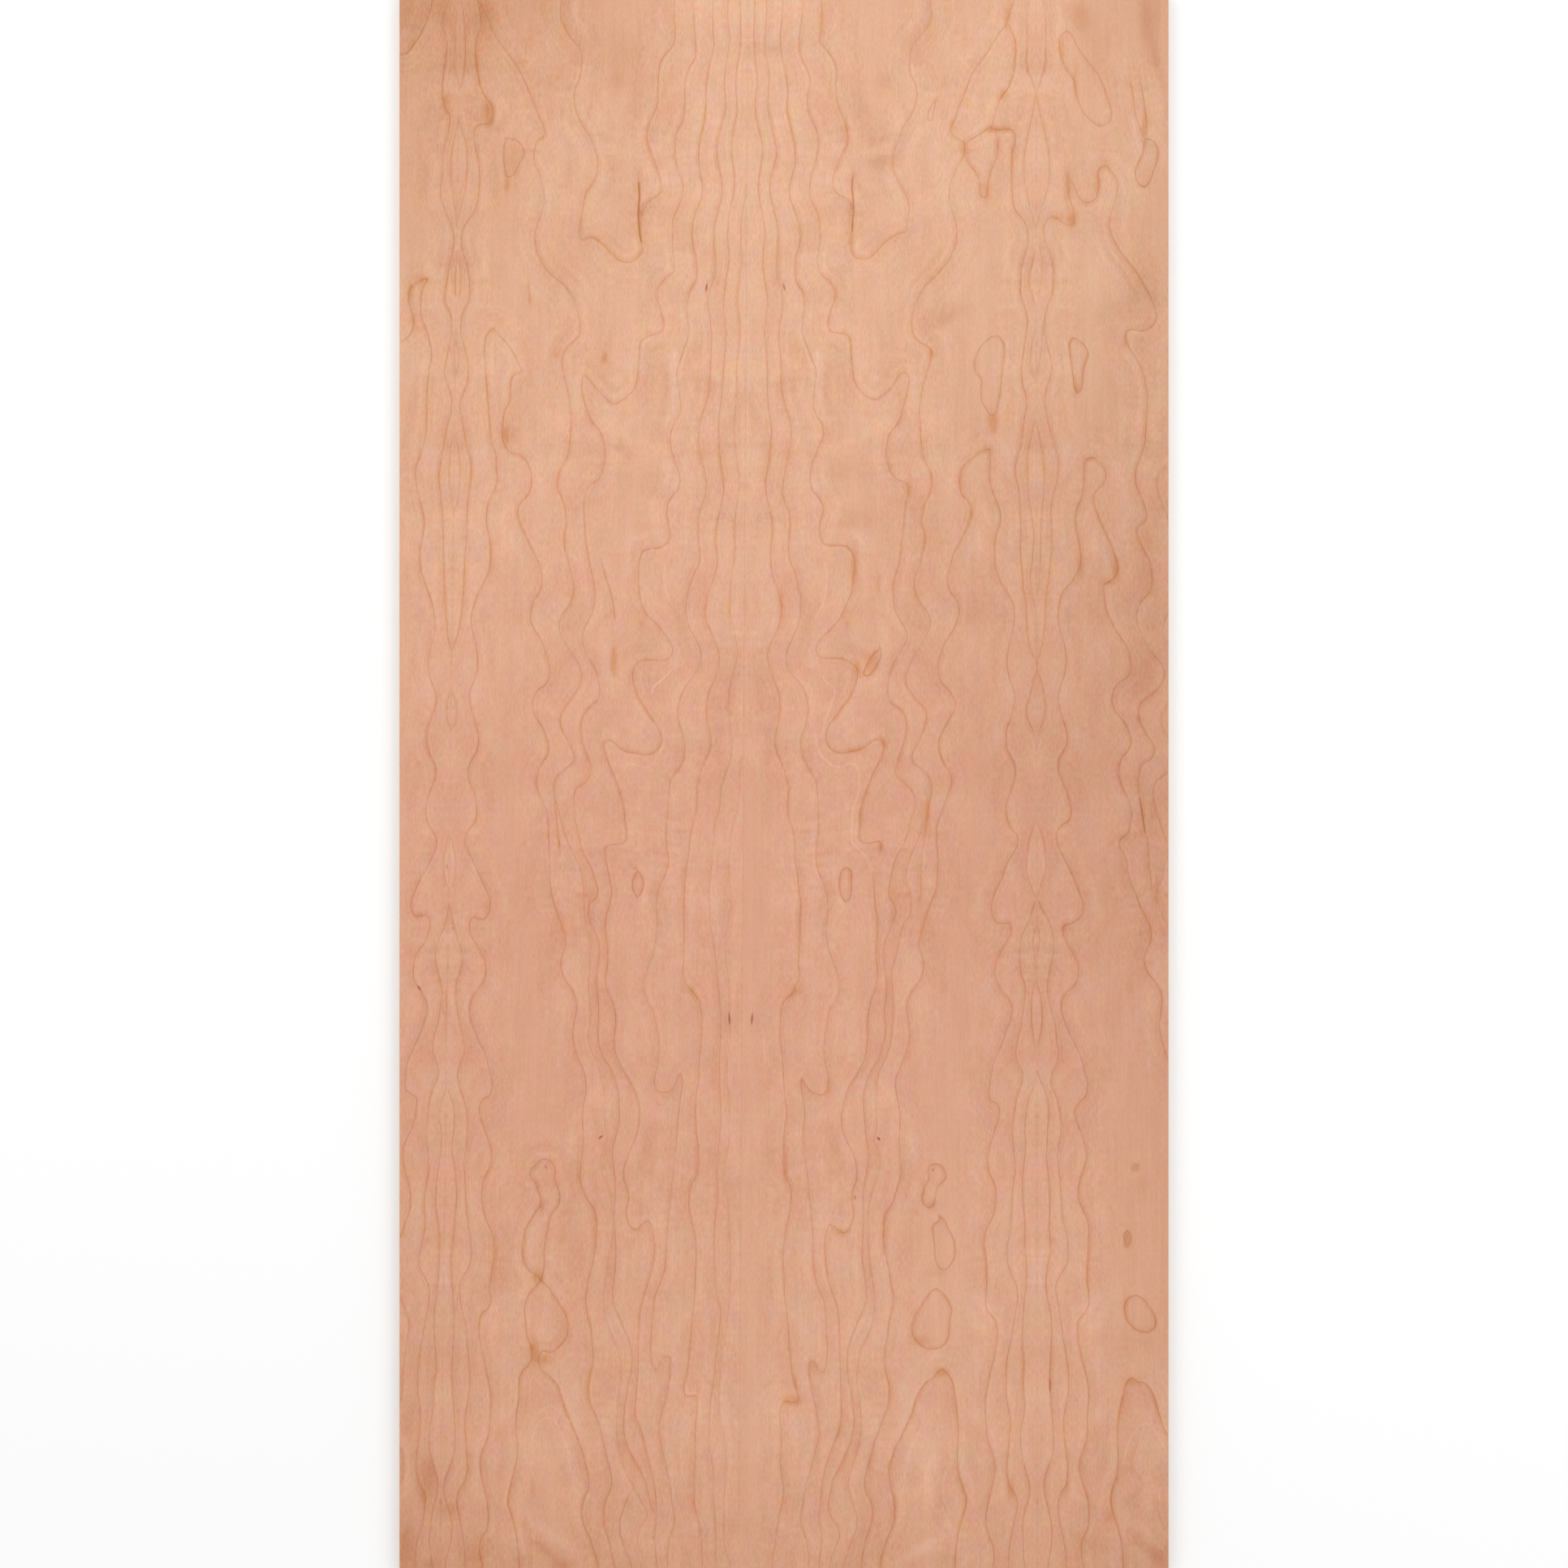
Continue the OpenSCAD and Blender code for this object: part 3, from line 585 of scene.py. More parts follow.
LEAF_4 = [
    ("line", 0.8, "left", (
        "1284,-6 1288,20 1289,60 1288,80 1283,98 1278,113 1281,135 1287,160 1292,185 1293,215 1291,232"
        " 1287,246 1282,262 1278,278"
    )),
    ("line", 0.5, "left", "1281,300 1284,320 1284,340 1281,358 1277,374"),
    ("line", 0.7, "left", "1283,400 1284,420 1282,440 1279,455 1275,464"),
    ("line", 0.8, "left", "1278,522 1281,540 1285,562 1287,590 1285,620 1283,650 1282,690 1281,715 1277,738"),
    ("line", 0.8, "left", (
        "1314,212 1315,224 1317,238 1320,250 1324,265 1323,275 1318,278 1310,274 1302,269 1296,267 1290,272"
        " 1286,285 1288,297 1293,310 1297,325 1298,345 1297,360 1292,374 1288,388 1287,402 1288,415"
        " 1292,430 1296,447 1295,462 1291,475 1288,490 1290,510 1294,530 1300,550 1304,566 1304,580"
        " 1301,600 1297,616 1295,632 1296,650 1296,672 1294,698 1291,722 1288,745 1288,770 1285,790"
        " 1281,808 1278,822 1281,834 1285,848 1288,865 1287,882 1283,895 1278,910"
    )),
    ("line", 1.0, "right", (
        "1317,219 1325,232 1331,245 1340,250 1348,247 1353,238 1354,225 1353,214 1357,206 1364,205 1370,212"
        " 1376,222 1377,235 1373,250 1369,265 1367,278 1370,290 1375,300 1382,312 1390,322 1400,335"
        " 1408,348 1415,360 1421,372 1425,385 1424,396 1418,403 1406,408 1396,406 1389,408 1387,415"
        " 1390,425 1396,436 1404,448 1409,460 1412,475 1414,495 1412,525 1411,545 1407,560 1402,572"
        " 1399,585 1401,600 1406,612 1411,625 1413,637 1409,645 1403,648 1401,655 1405,668 1411,680"
        " 1416,690 1419,705 1420,720 1414,733 1405,743 1401,755 1401,768 1406,780 1413,795 1422,808"
        " 1432,820 1435,830 1432,840 1424,852 1413,860 1405,868 1403,880 1408,895 1415,908 1421,917"
        " 1423,927 1418,935 1408,942 1403,955 1403,970 1407,995 1411,1015 1414,1035 1416,1060 1420,1100"
    )),
    ("line", 0.9, "right", (
        "1314,38 1320,42 1328,58 1340,75 1352,90 1360,107 1366,125 1370,140 1367,150 1357,155 1343,147"
        " 1333,135 1327,118 1323,98 1312,82 1306,62 1307,45 1314,38"
    )),
    ("line", 0.8, "right", "1393,98 1397,120 1399,140 1404,155 1410,172"),
    ("line", 1.3, "right", "1405,98 1408,115 1411,135 1413,150 1412,165"),
    ("line", 1.3, "right", (
        "1412,171 1420,173 1425,180 1427,190 1425,200 1421,212 1416,225 1411,230 1405,228 1400,220 1400,208"
        " 1403,200 1408,190 1410,178 1412,171"
    )),
    ("line", 1.2, "right", (
        "1322,416 1330,420 1338,428 1341,436 1338,445 1335,455 1334,470 1332,480 1328,484 1325,478 1322,460"
        " 1320,445 1318,432 1319,420 1322,416"
    )),
    ("line", 1.1, "right", arch(
        "1347,564 1341,565 1337,569 1336,580 1336,595 1333,612 1327,628 1325,642 1327,656 1330,670 1332,686"
        " 1331,698 1327,707 1320,718 1311,728 1306,742 1304,755 1305,770 1309,785 1313,800 1314,815"
        " 1312,830 1307,845 1304,860 1306,875 1311,890 1315,905 1315,916 1311,925 1305,935 1304,947"
        " 1309,962 1316,980 1320,1000 1318,1010 1308,1017 1302,1028 1303,1040 1310,1055 1320,1075"
        " 1328,1095 1334,1112 1334,1125 1328,1133 1320,1138 1312,1140 1310,1150 1314,1160 1321,1173"
        " 1328,1188 1329,1200 1325,1213 1316,1221 1310,1230 1308,1245 1312,1258 1319,1275 1328,1293"
        " 1333,1307 1337,1322 1340,1335 1338,1350 1330,1359 1325,1367 1326,1380 1332,1395 1337,1410"
        " 1339,1425 1336,1440 1331,1454 1329,1465 1330,1480 1335,1492 1340,1502 1342,1515 1341,1540"
        " 1340,1580 1342,1595 1341,1610 1335,1620 1329,1628 1328,1640 1330,1660 1335,1680 1340,1700"
        " 1342,1720 1340,1745 1340,1770 1336,1785 1331,1800 1331,1815 1336,1832 1341,1850 1342,1870"
        " 1340,1885 1334,1897 1333,1912 1337,1940",
        "1347,564 1354,569 1360,576 1363,585 1361,594 1355,601 1349,608 1348,618 1352,632 1358,647 1366,664"
        " 1372,680 1376,692 1377,703 1373,712 1366,717 1361,720 1361,735 1363,750 1368,763 1376,778"
        " 1384,790 1390,800 1393,815 1392,830 1386,837 1378,842 1373,850 1370,862 1374,875 1380,883"
        " 1387,892 1392,905 1394,915 1390,925 1384,932 1380,942 1379,955 1383,970 1392,988 1395,1000"
        " 1393,1015 1390,1027 1382,1033 1379,1040 1384,1050 1388,1060 1390,1075 1394,1088 1400,1103"
        " 1406,1118 1412,1130 1418,1145 1418,1158 1414,1168 1410,1180 1413,1195 1421,1207 1428,1217"
        " 1432,1230 1431,1245 1429,1260 1430,1275 1434,1290 1441,1310"
    )),
    ("line", 0.8, "right", "1444,574 1432,579 1427,588 1427,605 1432,620 1437,632 1440,645"),
    ("line", 0.7, "right", "1443,752 1436,762 1433,775 1435,786 1442,797"),
    ("line", 0.7, "right", "1443,862 1436,872 1432,885 1434,900 1442,912"),
    ("line", 0.8, "right", "1443,950 1432,957 1424,964 1421,978 1424,995 1430,1015 1437,1035 1442,1048"),
    ("line", 0.5, "right", "1441,1050 1435,1066 1433,1080 1427,1095 1426,1108 1432,1125 1440,1145"),
    ("line", 0.8, "left", "1278,1012 1284,1028 1288,1050 1289,1068 1284,1086 1278,1106"),
    ("line", 0.9, "left", (
        "1278,1106 1283,1118 1290,1130 1296,1145 1299,1160 1297,1180 1293,1200 1291,1215 1292,1230 1296,1245"
        " 1300,1260 1302,1280 1304,1298 1302,1311 1297,1321 1295,1335 1300,1347 1304,1360 1307,1375"
        " 1308,1390 1306,1405 1303,1420 1305,1440 1307,1460 1308,1480 1310,1505 1314,1520 1316,1540"
        " 1315,1555 1310,1566 1304,1575 1301,1585 1303,1600 1306,1620 1309,1640 1313,1665 1316,1685"
        " 1317,1705 1316,1720 1312,1740 1311,1755 1312,1775 1315,1795 1316,1815 1314,1830 1307,1841"
        " 1304,1852 1305,1870 1309,1890 1313,1910 1314,1940"
    )),
    ("line", 1.05, "left", (
        "1277,1316 1281,1328 1286,1340 1291,1355 1292,1375 1291,1395 1290,1430 1292,1450 1294,1475 1293,1510"
        " 1294,1545 1291,1560 1289,1580 1291,1600 1295,1620 1296,1640 1295,1670 1294,1700 1295,1725"
        " 1297,1750 1298,1775 1297,1795 1291,1810 1287,1825 1288,1842 1292,1860 1296,1880 1296,1900"
        " 1293,1920 1291,1940"
    )),
    ("line", 1.1, "left", "1278,1211 1282,1226 1284,1242 1284,1262 1281,1280 1277,1294"),
    ("line", 0.8, "left", "1278,1135 1281,1150 1280,1168 1277,1182"),
    ("line", 1.15, "right", (
        "1400,1596 1408,1600 1416,1610 1423,1622 1424,1632 1418,1640 1408,1641 1398,1637 1390,1628"
        " 1386,1617 1387,1605 1393,1598 1400,1596"
    )),
    ("line", 1.0, "right", "1389,1516 1393,1521 1392,1533 1389,1537 1386,1530 1386,1520 1389,1516"),
    ("line", 0.45, "right", "1398,1434 1402,1436 1402,1442 1398,1443 1395,1439 1398,1434"),
    ("line", 1.25, "right", arch(
        "1395,1698 1388,1705 1386,1715 1382,1728 1379,1745 1377,1765 1378,1800 1376,1820 1371,1835"
        " 1369,1850 1371,1862 1377,1880 1382,1900 1385,1940",
        "1395,1698 1402,1703 1410,1704 1417,1711 1423,1725 1429,1745 1434,1760 1441,1772"
    )),
    ("line", 0.5, "right", "1427,1856 1429,1868 1434,1880 1442,1890"),
    ("pale", 0.7, "right", "1386,1800 1390,1780 1398,1765 1404,1757 1412,1754 1421,1760 1430,1774 1438,1792"),
    ("line", 0.35, "right", "1404,1772 1397,1790 1395,1808 1405,1820 1408,1832 1397,1845 1385,1857"),
    ("gum", 0.75, "right", "1404,980 1408,1005 1412,1030"),
]
print("growth lines on the first and the fourth leaf:", len(LEAF_1), len(LEAF_4))

# %% [markdown]
# ## Gum, ochre and shade
# Cherry has gum: where it has bled into the wood beside a growth line, it leaves soft ochre patches. The grain of
# this log also leans in and out of the face, so some places turn light away and look browner, and others catch
# it; that shade and sheen are painted into the wood's colour. Both are soft spots without an edge, so each is
# written as a place, its half width and half height in pixels of the photograph, and a strength. A shade below
# nought is painted sheen, lighter than the wood round it.

# %% Soft spots
OCHRE_SPOTS = {
    "face_leaf_1": (
        "545,15,15,20,.5 506,360,4,12,.9 510,395,3,14,.5 520,343,7,4,.7 549,128,5,12,.6 515,1127,8,5,.5"
        " 522,1812,8,22,.4 521,1845,5,9,.5 533,480,2,30,.3 517,545,2,16,.4 518,700,2,20,.3 527,1450,2,25,.3"
    ),
    "face_leaf_2": (
        "601,138,7,17,.8 598,28,12,28,.5 588,90,3,26,.5 635,194,9,22,.4 624,230,3,8,.4 693,140,2,8,.5"
        " 607,153,9,8,.3 625,223,3,9,.5 626,233,3,6,.3 651,352,2,8,.6 653,368,2,8,.6 745,440,4,8,.9 685,437,8,6,.3 763,551,6,5,.5 775,560,6,6,.3"
        " 624,535,8,13,.8 757,815,4,16,1.3 716,275,3,18,.4 800,247,5,8,.4 775,838,5,15,.4 597,1117,10,8,.3"
        " 689,1040,2,12,.6 853,1221,4,5,.6 668,1487,4,7,.8 664,1574,8,7,1 658,1666,5,13,1.1 672,1675,11,7,.7 657,1835,3,12,.4"
        " 775,1852,4,7,.4 788,262,4,45,.5 603,540,3,20,.4 605,690,3,20,.4 860,1715,3,8,.5 577,1810,3,14,.4"
    ),
    "face_leaf_3": (
        "1242,22,5,14,.7 1236,117,6,6,.8 1222,159,10,4,.9 1240,159,8,4,.8 1229,176,4,12,.5 1215,236,6,10,.7"
        " 1185,180,5,6,.5 1190,186,3,10,.6 1174,152,3,7,.5 1012,20,3,25,.4 1044,160,3,15,.4 1248,200,3,30,.4"
        " 1050,262,4,45,.5 1029,363,3,9,.5 1046,417,5,5,.4 1049,445,3,18,.5 1148,436,5,5,.6 1201,450,3,8,.5"
        " 1224,520,6,13,1 1217,555,8,4,.6 1120,604,5,14,.5 1184,588,4,13,.5 1197,632,3,10,.4 1052,697,4,20,.8"
        " 962,742,3,20,.5 1082,720,3,14,.6 1056,822,4,9,.8 1075,816,8,14,.7 1088,914,5,8,.5 1050,925,15,5,.4"
        " 1062,1005,3,20,.4 1085,1042,4,8,.7 1143,1005,4,28,.7 1155,1065,3,22,.5 1135,1090,4,30,.3"
        " 985,1150,3,40,.4 979,1222,9,6,.6 1021,1342,4,10,.4 988,1340,4,10,.4 968,1445,3,22,.5 1039,1518,8,4,.4"
        " 1147,1485,8,6,.6 1138,1470,3,10,.5 1089,1520,3,25,.4 1154,1568,12,6,.4 1135,1652,12,6,.5"
        " 1160,1690,8,6,.8 975,1725,10,6,1 980,1705,3,12,.6 1002,1683,5,6,.5 1102,1862,4,18,.4 1072,1800,3,16,.4"
        " 1034,1765,3,14,.4 1245,1832,4,15,.6"
    ),
    "face_leaf_4": (
        "1330,18,12,18,.4 1316,232,4,18,.8 1321,270,6,10,.9 1302,268,8,4,.5 1353,228,4,12,.5 1362,200,8,8,.3"
        " 1340,250,8,4,.4 1309,58,3,15,.5 1325,100,3,25,.5 1411,155,3,16,.9 1427,190,2,12,.5 1388,420,4,10,.7"
        " 1327,478,4,10,.8 1345,565,7,3,.6 1376,700,4,14,.9 1366,718,6,3,.8 1412,525,3,25,.4 1330,690,4,18,.5"
        " 1385,1033,8,5,.5 1408,1000,3,30,.6 1415,1060,4,25,.4 1425,1100,5,20,.4 1311,1142,4,8,.5"
        " 1389,1527,4,9,.9 1399,1438,4,5,.6 1387,1610,3,15,.4 1424,1630,2,10,.4 1395,1702,12,5,.6"
        " 1384,1720,3,14,.4 1425,1730,3,16,.4 1315,1830,3,14,.4 1316,985,3,18,.4 1403,888,3,12,.5"
    ),
}
# Painted shade above nought, painted sheen below it
SHADES = {
    "face_leaf_1": (
        "505,20,22,34,.4 500,1905,14,26,.6 503,1750,9,30,.35 504,1817,8,24,-.25 530,1928,9,10,.6"
        " 529,1822,8,24,.6 556,1860,16,11,.5 519,1905,5,18,-.2 540,1775,4,40,-.25 547,1895,6,26,-.15"
    ),
    "face_leaf_2": (
        "600,20,26,22,.3 590,1915,30,18,.5 640,1924,20,12,.5 671,1910,24,7,.8,-42 690,1929,15,7,.6 648,1879,9,7,.35"
        " 684,1894,24,6,-.75,-37 706,1908,12,9,-.4 715,1900,30,20,.1 770,65,34,30,.25 726,372,14,26,-.3"
        " 556,1860,16,11,.5 770,375,16,26,-.35 761,98,10,14,.3 547,1895,6,26,-.15 544,1775,5,40,-.25"
        " 665,1790,16,34,-.5 600,620,30,40,-.25 760,940,40,40,-.2 800,600,30,16,.15 610,1560,20,60,.2"
    ),
    "face_leaf_3": (
        "1075,150,24,30,.2 1086,198,22,9,.45 1078,172,14,10,.35 1108,185,8,14,.3 1092,100,12,14,.3 1140,45,26,40,.2"
        " 1145,1795,17,42,-.5 1135,1908,24,7,-1.1,32 1165,1921,20,8,.25 1155,1862,10,16,.2 1060,1905,22,22,.3"
        " 1150,388,26,16,.3 1168,392,30,7,.3,28 1085,365,22,16,-.3 950,60,36,9,.25 1100,1590,20,70,-.2 1035,575,40,18,.2"
        " 1060,640,40,14,.25 1140,660,26,40,.2 1155,1610,26,40,-.15 1210,750,22,24,.15 1060,780,40,14,-.2"
    ),
    "face_leaf_4": (
        "1416,18,15,34,.5 1425,75,8,50,.45,15 1330,25,20,20,.3 1355,60,26,44,.25 1345,340,24,26,-.4 1410,365,26,26,.35"
        " 1372,390,20,20,.2 1405,830,26,40,.28 1420,1000,18,50,.28 1418,1760,16,30,-.3 1368,1868,7,9,.5 1412,1886,26,6,-.5,-40"
        " 1412,1907,26,7,.5,-40 1428,1918,12,12,.4 1345,1905,26,20,.35 1400,1650,28,20,.2 1410,690,18,60,.3 1350,1790,40,30,.15"
        " 1385,1520,12,40,.25 1408,1465,10,16,.3"
    ),
}
# Small dark specks: place, half width, half length, strength and turn in degrees
SPECKS = (
    "870.7,354.5,1.9,8,.9,-8 966.4,353.5,1.8,7,.75,13 899,1255.5,1.7,12,.9,4 926.8,1255.5,2,11,.85,-5"
    " 740.4,1401.2,1.9,4.6,1,-50 1082.8,1403,2.4,4,1,45 516.7,1217.3,1.9,5.5,.9,34 673,1438,1.7,4.5,.55,27"
    " 1150,1441.5,1.7,4,.6,-34 1053.5,1475,1.7,4,.6,14 559,1143.5,1.6,2.8,.5,60 551,1067.5,1.6,5,.5,0"
    " 1403.5,1435,1.5,3,.3,0 1294,1707,1.8,13,.65,0"
)
LINES = {
    "face_leaf_1": LEAF_1,
    "face_leaf_2": LEAF_2,
    "face_leaf_3": LEAF_3,
    "face_leaf_4": LEAF_4,
}
for name in LINES:
    print(name, "ochre spots:", len(OCHRE_SPOTS[name].split()), "shades:", len(SHADES[name].split()))


def spots(text, places):
    """The summed strength of a text's soft spots at each place on the sheet. A sixth number turns a spot."""
    total = np.zeros(len(places))
    for x, y, half_width, half_height, strength, *turn in read_points(text):
        angle = math.radians(sum(turn))
        across, along = ((places - on_sheet([(x, y)])[0]) / METRES_PER_PX).T
        own_across = (across * math.cos(angle) + along * math.sin(angle)) / half_width
        own_along = (along * math.cos(angle) - across * math.sin(angle)) / half_height
        total += strength * np.exp(-(own_across**2) - own_along**2)
    return total


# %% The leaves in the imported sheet
LEAVES = ["face_leaf_1", "face_leaf_2", "face_leaf_3", "face_leaf_4"]


def leaf_edges(name):
    """The straight left and right edge of a leaf, each as its place across at the foot and at the head."""
    corners = [tuple(v.co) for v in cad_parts[name].data.vertices]
    foot = [c[0] for c in corners if c[1] < 0]
    head = [c[0] for c in corners if c[1] > 0]
    return (min(foot), min(head)), (max(foot), max(head))


def edge_at(edge, along):
    """Where an edge lies across the sheet, at a place along it."""
    half = (sheet_high.y - sheet_low.y) / 2
    return edge[0] + (edge[1] - edge[0]) * (along + half) / (2 * half)


EDGES = {name: leaf_edges(name) for name in LEAVES}
for name, edges in EDGES.items():
    print(name, "left", [round(v, 3) for v in edges[0]], "right", [round(v, 3) for v in edges[1]])

# %% [markdown]
# ## A leaf that knows where its growth lines are
# A leaf is a slice of wood 0.6 mm thick with straight edges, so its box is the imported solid's. Its top is a grid
# of small faces. Every vertex keeps a few numbers: how far it is from the nearest growth line, on which side, how
# dark that line is and of what kind, how much ochre and shade there is, how far the nearest joint is, and where
# the vertex lies in the log. The distance has a sign, because between two vertices on either side of a line it
# then runs through nought exactly on the line, however coarse the grid is. A second distance without a sign tells
# where that can be trusted. Between two lines the fibre follows both of them, so the next line's distance is kept
# too, with the share that it has in the drawing: half of it midway, and nothing beside the nearest line. The back
# is coarser, with fans of triangles between the two.

# %% Distances from the growth lines
CELL_ACROSS_MM = 3.0
CELL_ALONG_MM = 4.3
FINE_PER_COARSE = 10
FADE_MM = 14
FAR_MM = 90
SHARED_MM = 8.0
GUM_FIRST_MM = 2.0
KINDS = {"line": 0.0, "gum": 1.0, "pale": -1.0}


def line_samples(kind, strength, hand, text):
    """The places along one line, with the normal towards its richer side and the darkness."""
    points = on_sheet(read_points(text))
    where, ways = smooth(points)
    # The right hand of (x, y) is (y, -x); the photograph's right hand is the sheet's too
    sign = 1 if hand == "right" else -1
    normals = np.column_stack([ways[:, 1], -ways[:, 0]]) * sign
    lengths = np.concatenate([[0], np.cumsum(np.linalg.norm(np.diff(where, axis=0), axis=1))])
    closed = np.linalg.norm(points[0] - points[-1]) < MM
    ends = np.ones(len(where)) if closed else np.minimum(lengths, lengths[-1] - lengths) / (FADE_MM * MM)
    fade = np.clip(ends * 3 + 0.2, 0, 1) if kind == "gum" else np.clip(ends + 0.3, 0, 1)
    return where, normals, strength * fade


def line_distances(line, points):
    """For each place: signed distance in mm from one line, plain distance in mm, and the line's darkness there."""
    where, normals, dark = line_samples(*line)
    tree = KDTree(len(where))
    for i, (x, y) in enumerate(where):
        tree.insert((x, y, 0), i)
    tree.balance()
    signed = np.full(len(points), FAR_MM * 2.0)
    plain = np.full(len(points), FAR_MM * 2.0)
    darkness = np.zeros(len(points))
    low, high = where.min(axis=0) - FAR_MM * MM, where.max(axis=0) + FAR_MM * MM
    for i in np.flatnonzero(((points > low) & (points < high)).all(axis=1)):
        _, k, distance = tree.find((points[i, 0], points[i, 1], 0))
        signed[i] = np.dot(points[i] - where[k], normals[k]) / MM
        plain[i] = distance / MM
        darkness[i] = dark[k]
    return signed, plain, darkness


def line_numbers(name, points):
    """What each place on a leaf has to know about the leaf's lines."""
    lines = LINES[name]
    found = [line_distances(line, points) for line in lines]
    signed, plain, dark = (np.array([one[k] for one in found]) for k in range(3))
    kinds = np.array([KINDS[line[0]] for line in lines])
    every = np.arange(len(points))
    # Gum that lies on a growth line comes before the line
    nearest = (plain - (kinds == KINDS["gum"])[:, None] * GUM_FIRST_MM).argmin(axis=0)
    # The fibre follows the growth lines alone, not gum or a pale line, and runs past a small ring
    open_line = np.array([line[3].split()[0] != line[3].split()[-1] for line in lines])
    growth = (kinds == 0) & open_line
    first, second = np.argsort(plain[growth], axis=0)[:2]
    apart = plain[growth][second, every] - plain[growth][first, every]
    return {
        "line_signed": signed[nearest, every],
        "line_near": plain[nearest, every],
        "line_dark": dark[nearest, every],
        "line_kind": kinds[nearest],
        "flow_first": signed[growth][first, every],
        "flow_second": signed[growth][second, every],
        "flow_share": 0.5 * np.exp(-apart / SHARED_MM),
        "flow_near": plain[growth][first, every],
    }


# %% A leaf's mesh
BOOK_EDGE = {"face_leaf_1": 1, "face_leaf_2": 0, "face_leaf_3": 1, "face_leaf_4": 0}
JOINT_EDGES = {"face_leaf_1": [1], "face_leaf_2": [0, 1], "face_leaf_3": [0, 1], "face_leaf_4": [0]}


def grid(left, right, rows, columns, z):
    """Places of a grid between two straight edges, row by row from the foot to the head."""
    along = np.linspace(sheet_low.y, sheet_high.y, rows + 1)
    share = np.linspace(0, 1, columns + 1)
    lefts, rights = edge_at(left, along), edge_at(right, along)
    across = lefts[:, None] + (rights - lefts)[:, None] * share[None, :]
    deep = np.repeat(along[:, None], columns + 1, axis=1)
    return np.column_stack([across.ravel(), deep.ravel(), np.full(across.size, z)])


def quads(rows, columns, first, upwards):
    """The faces of such a grid, as numbers of its vertices."""
    start = first + np.arange(rows)[:, None] * (columns + 1) + np.arange(columns)[None, :]
    corners = [start, start + 1, start + columns + 2, start + columns + 1]
    if not upwards:
        corners.reverse()
    return np.stack([c.ravel() for c in corners], axis=1).tolist()


def skirt(fine, coarse):
    """Triangles between a fine row of vertices and a coarse one that runs below it."""
    faces = []
    for k in range(len(coarse) - 1):
        part = fine[k * FINE_PER_COARSE:(k + 1) * FINE_PER_COARSE + 1]
        middle = FINE_PER_COARSE // 2
        for i in range(FINE_PER_COARSE):
            foot = coarse[k] if i < middle else coarse[k + 1]
            faces.append((part[i + 1], part[i], foot))
        faces.append((part[middle], coarse[k], coarse[k + 1]))
    return faces


def leaf_numbers(name, places):
    """What each vertex of a leaf keeps, by the name that the finish reads it under."""
    book_edge = edge_at(EDGES[name][BOOK_EDGE[name]], places[:, 1])
    joints = [np.abs(places[:, 0] - edge_at(EDGES[name][k], places[:, 1])) for k in JOINT_EDGES[name]]
    return {
        **line_numbers(name, places),
        "ochre": spots(OCHRE_SPOTS[name], places),
        # Painted shade and sheen of the leaning grain, as soft spots
        "shade": spots(SHADES[name], places),
        "from_joint": np.min(joints, axis=0) / MM,
        "log_across": np.abs(places[:, 0] - book_edge) / MM,
        "log_along": places[:, 1] / MM,
    }


def leaf_mesh(name):
    """One face leaf as a closed mesh in its solid's own place, with its numbers on its vertices."""
    left, right = EDGES[name]
    low, high = (Vector(corner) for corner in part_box(name))
    width = max(right[0] - left[0], right[1] - left[1])
    columns = FINE_PER_COARSE * round(width / (CELL_ACROSS_MM * FINE_PER_COARSE * MM))
    rows = FINE_PER_COARSE * round((high.y - low.y) / (CELL_ALONG_MM * FINE_PER_COARSE * MM))
    coarse_rows, coarse_columns = rows // FINE_PER_COARSE, columns // FINE_PER_COARSE
    top = grid(left, right, rows, columns, high.z)
    below = grid(left, right, coarse_rows, coarse_columns, low.z)
    places = np.vstack([top, below])

    numbers = np.arange(len(top)).reshape(rows + 1, columns + 1)
    under = len(top) + np.arange(len(below)).reshape(coarse_rows + 1, coarse_columns + 1)
    faces = quads(rows, columns, 0, True) + quads(coarse_rows, coarse_columns, len(top), False)
    faces += skirt(numbers[0, :].tolist(), under[0, :].tolist())
    faces += skirt(numbers[:, -1].tolist(), under[:, -1].tolist())
    faces += skirt(numbers[-1, ::-1].tolist(), under[-1, ::-1].tolist())
    faces += skirt(numbers[::-1, 0].tolist(), under[::-1, 0].tolist())

    mesh = bpy.data.meshes.new(name + "_veneer")
    mesh.from_pydata(places.tolist(), [], faces)
    mesh.update()
    for label, values in leaf_numbers(name, places[:, :2]).items():
        kept = mesh.attributes.new(label, "FLOAT", "POINT")
        kept.data.foreach_set("value", np.ascontiguousarray(values, dtype=np.float32))
    return mesh


# %% The four leaves in place
veneers = {}
for name in LEAVES:
    veneer = bpy.data.objects.new(name + "_veneer", leaf_mesh(name))
    bpy.context.scene.collection.objects.link(veneer)
    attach(veneer, "root")
    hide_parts(name)
    veneers[name] = veneer
    print(veneer.name, "faces:", len(veneer.data.polygons))

# %% [markdown]
# ## Shader maths as plain expressions
# A material is a net of nodes, and wood takes many of them. Written node by node, the sum that makes a growth
# line dark can't be read any more. So a socket is wrapped in a small class that knows Python's operators: adding
# or multiplying two of them makes the Math node. Colours go through Mix and Vector Math instead, because a Math
# node would turn them grey.

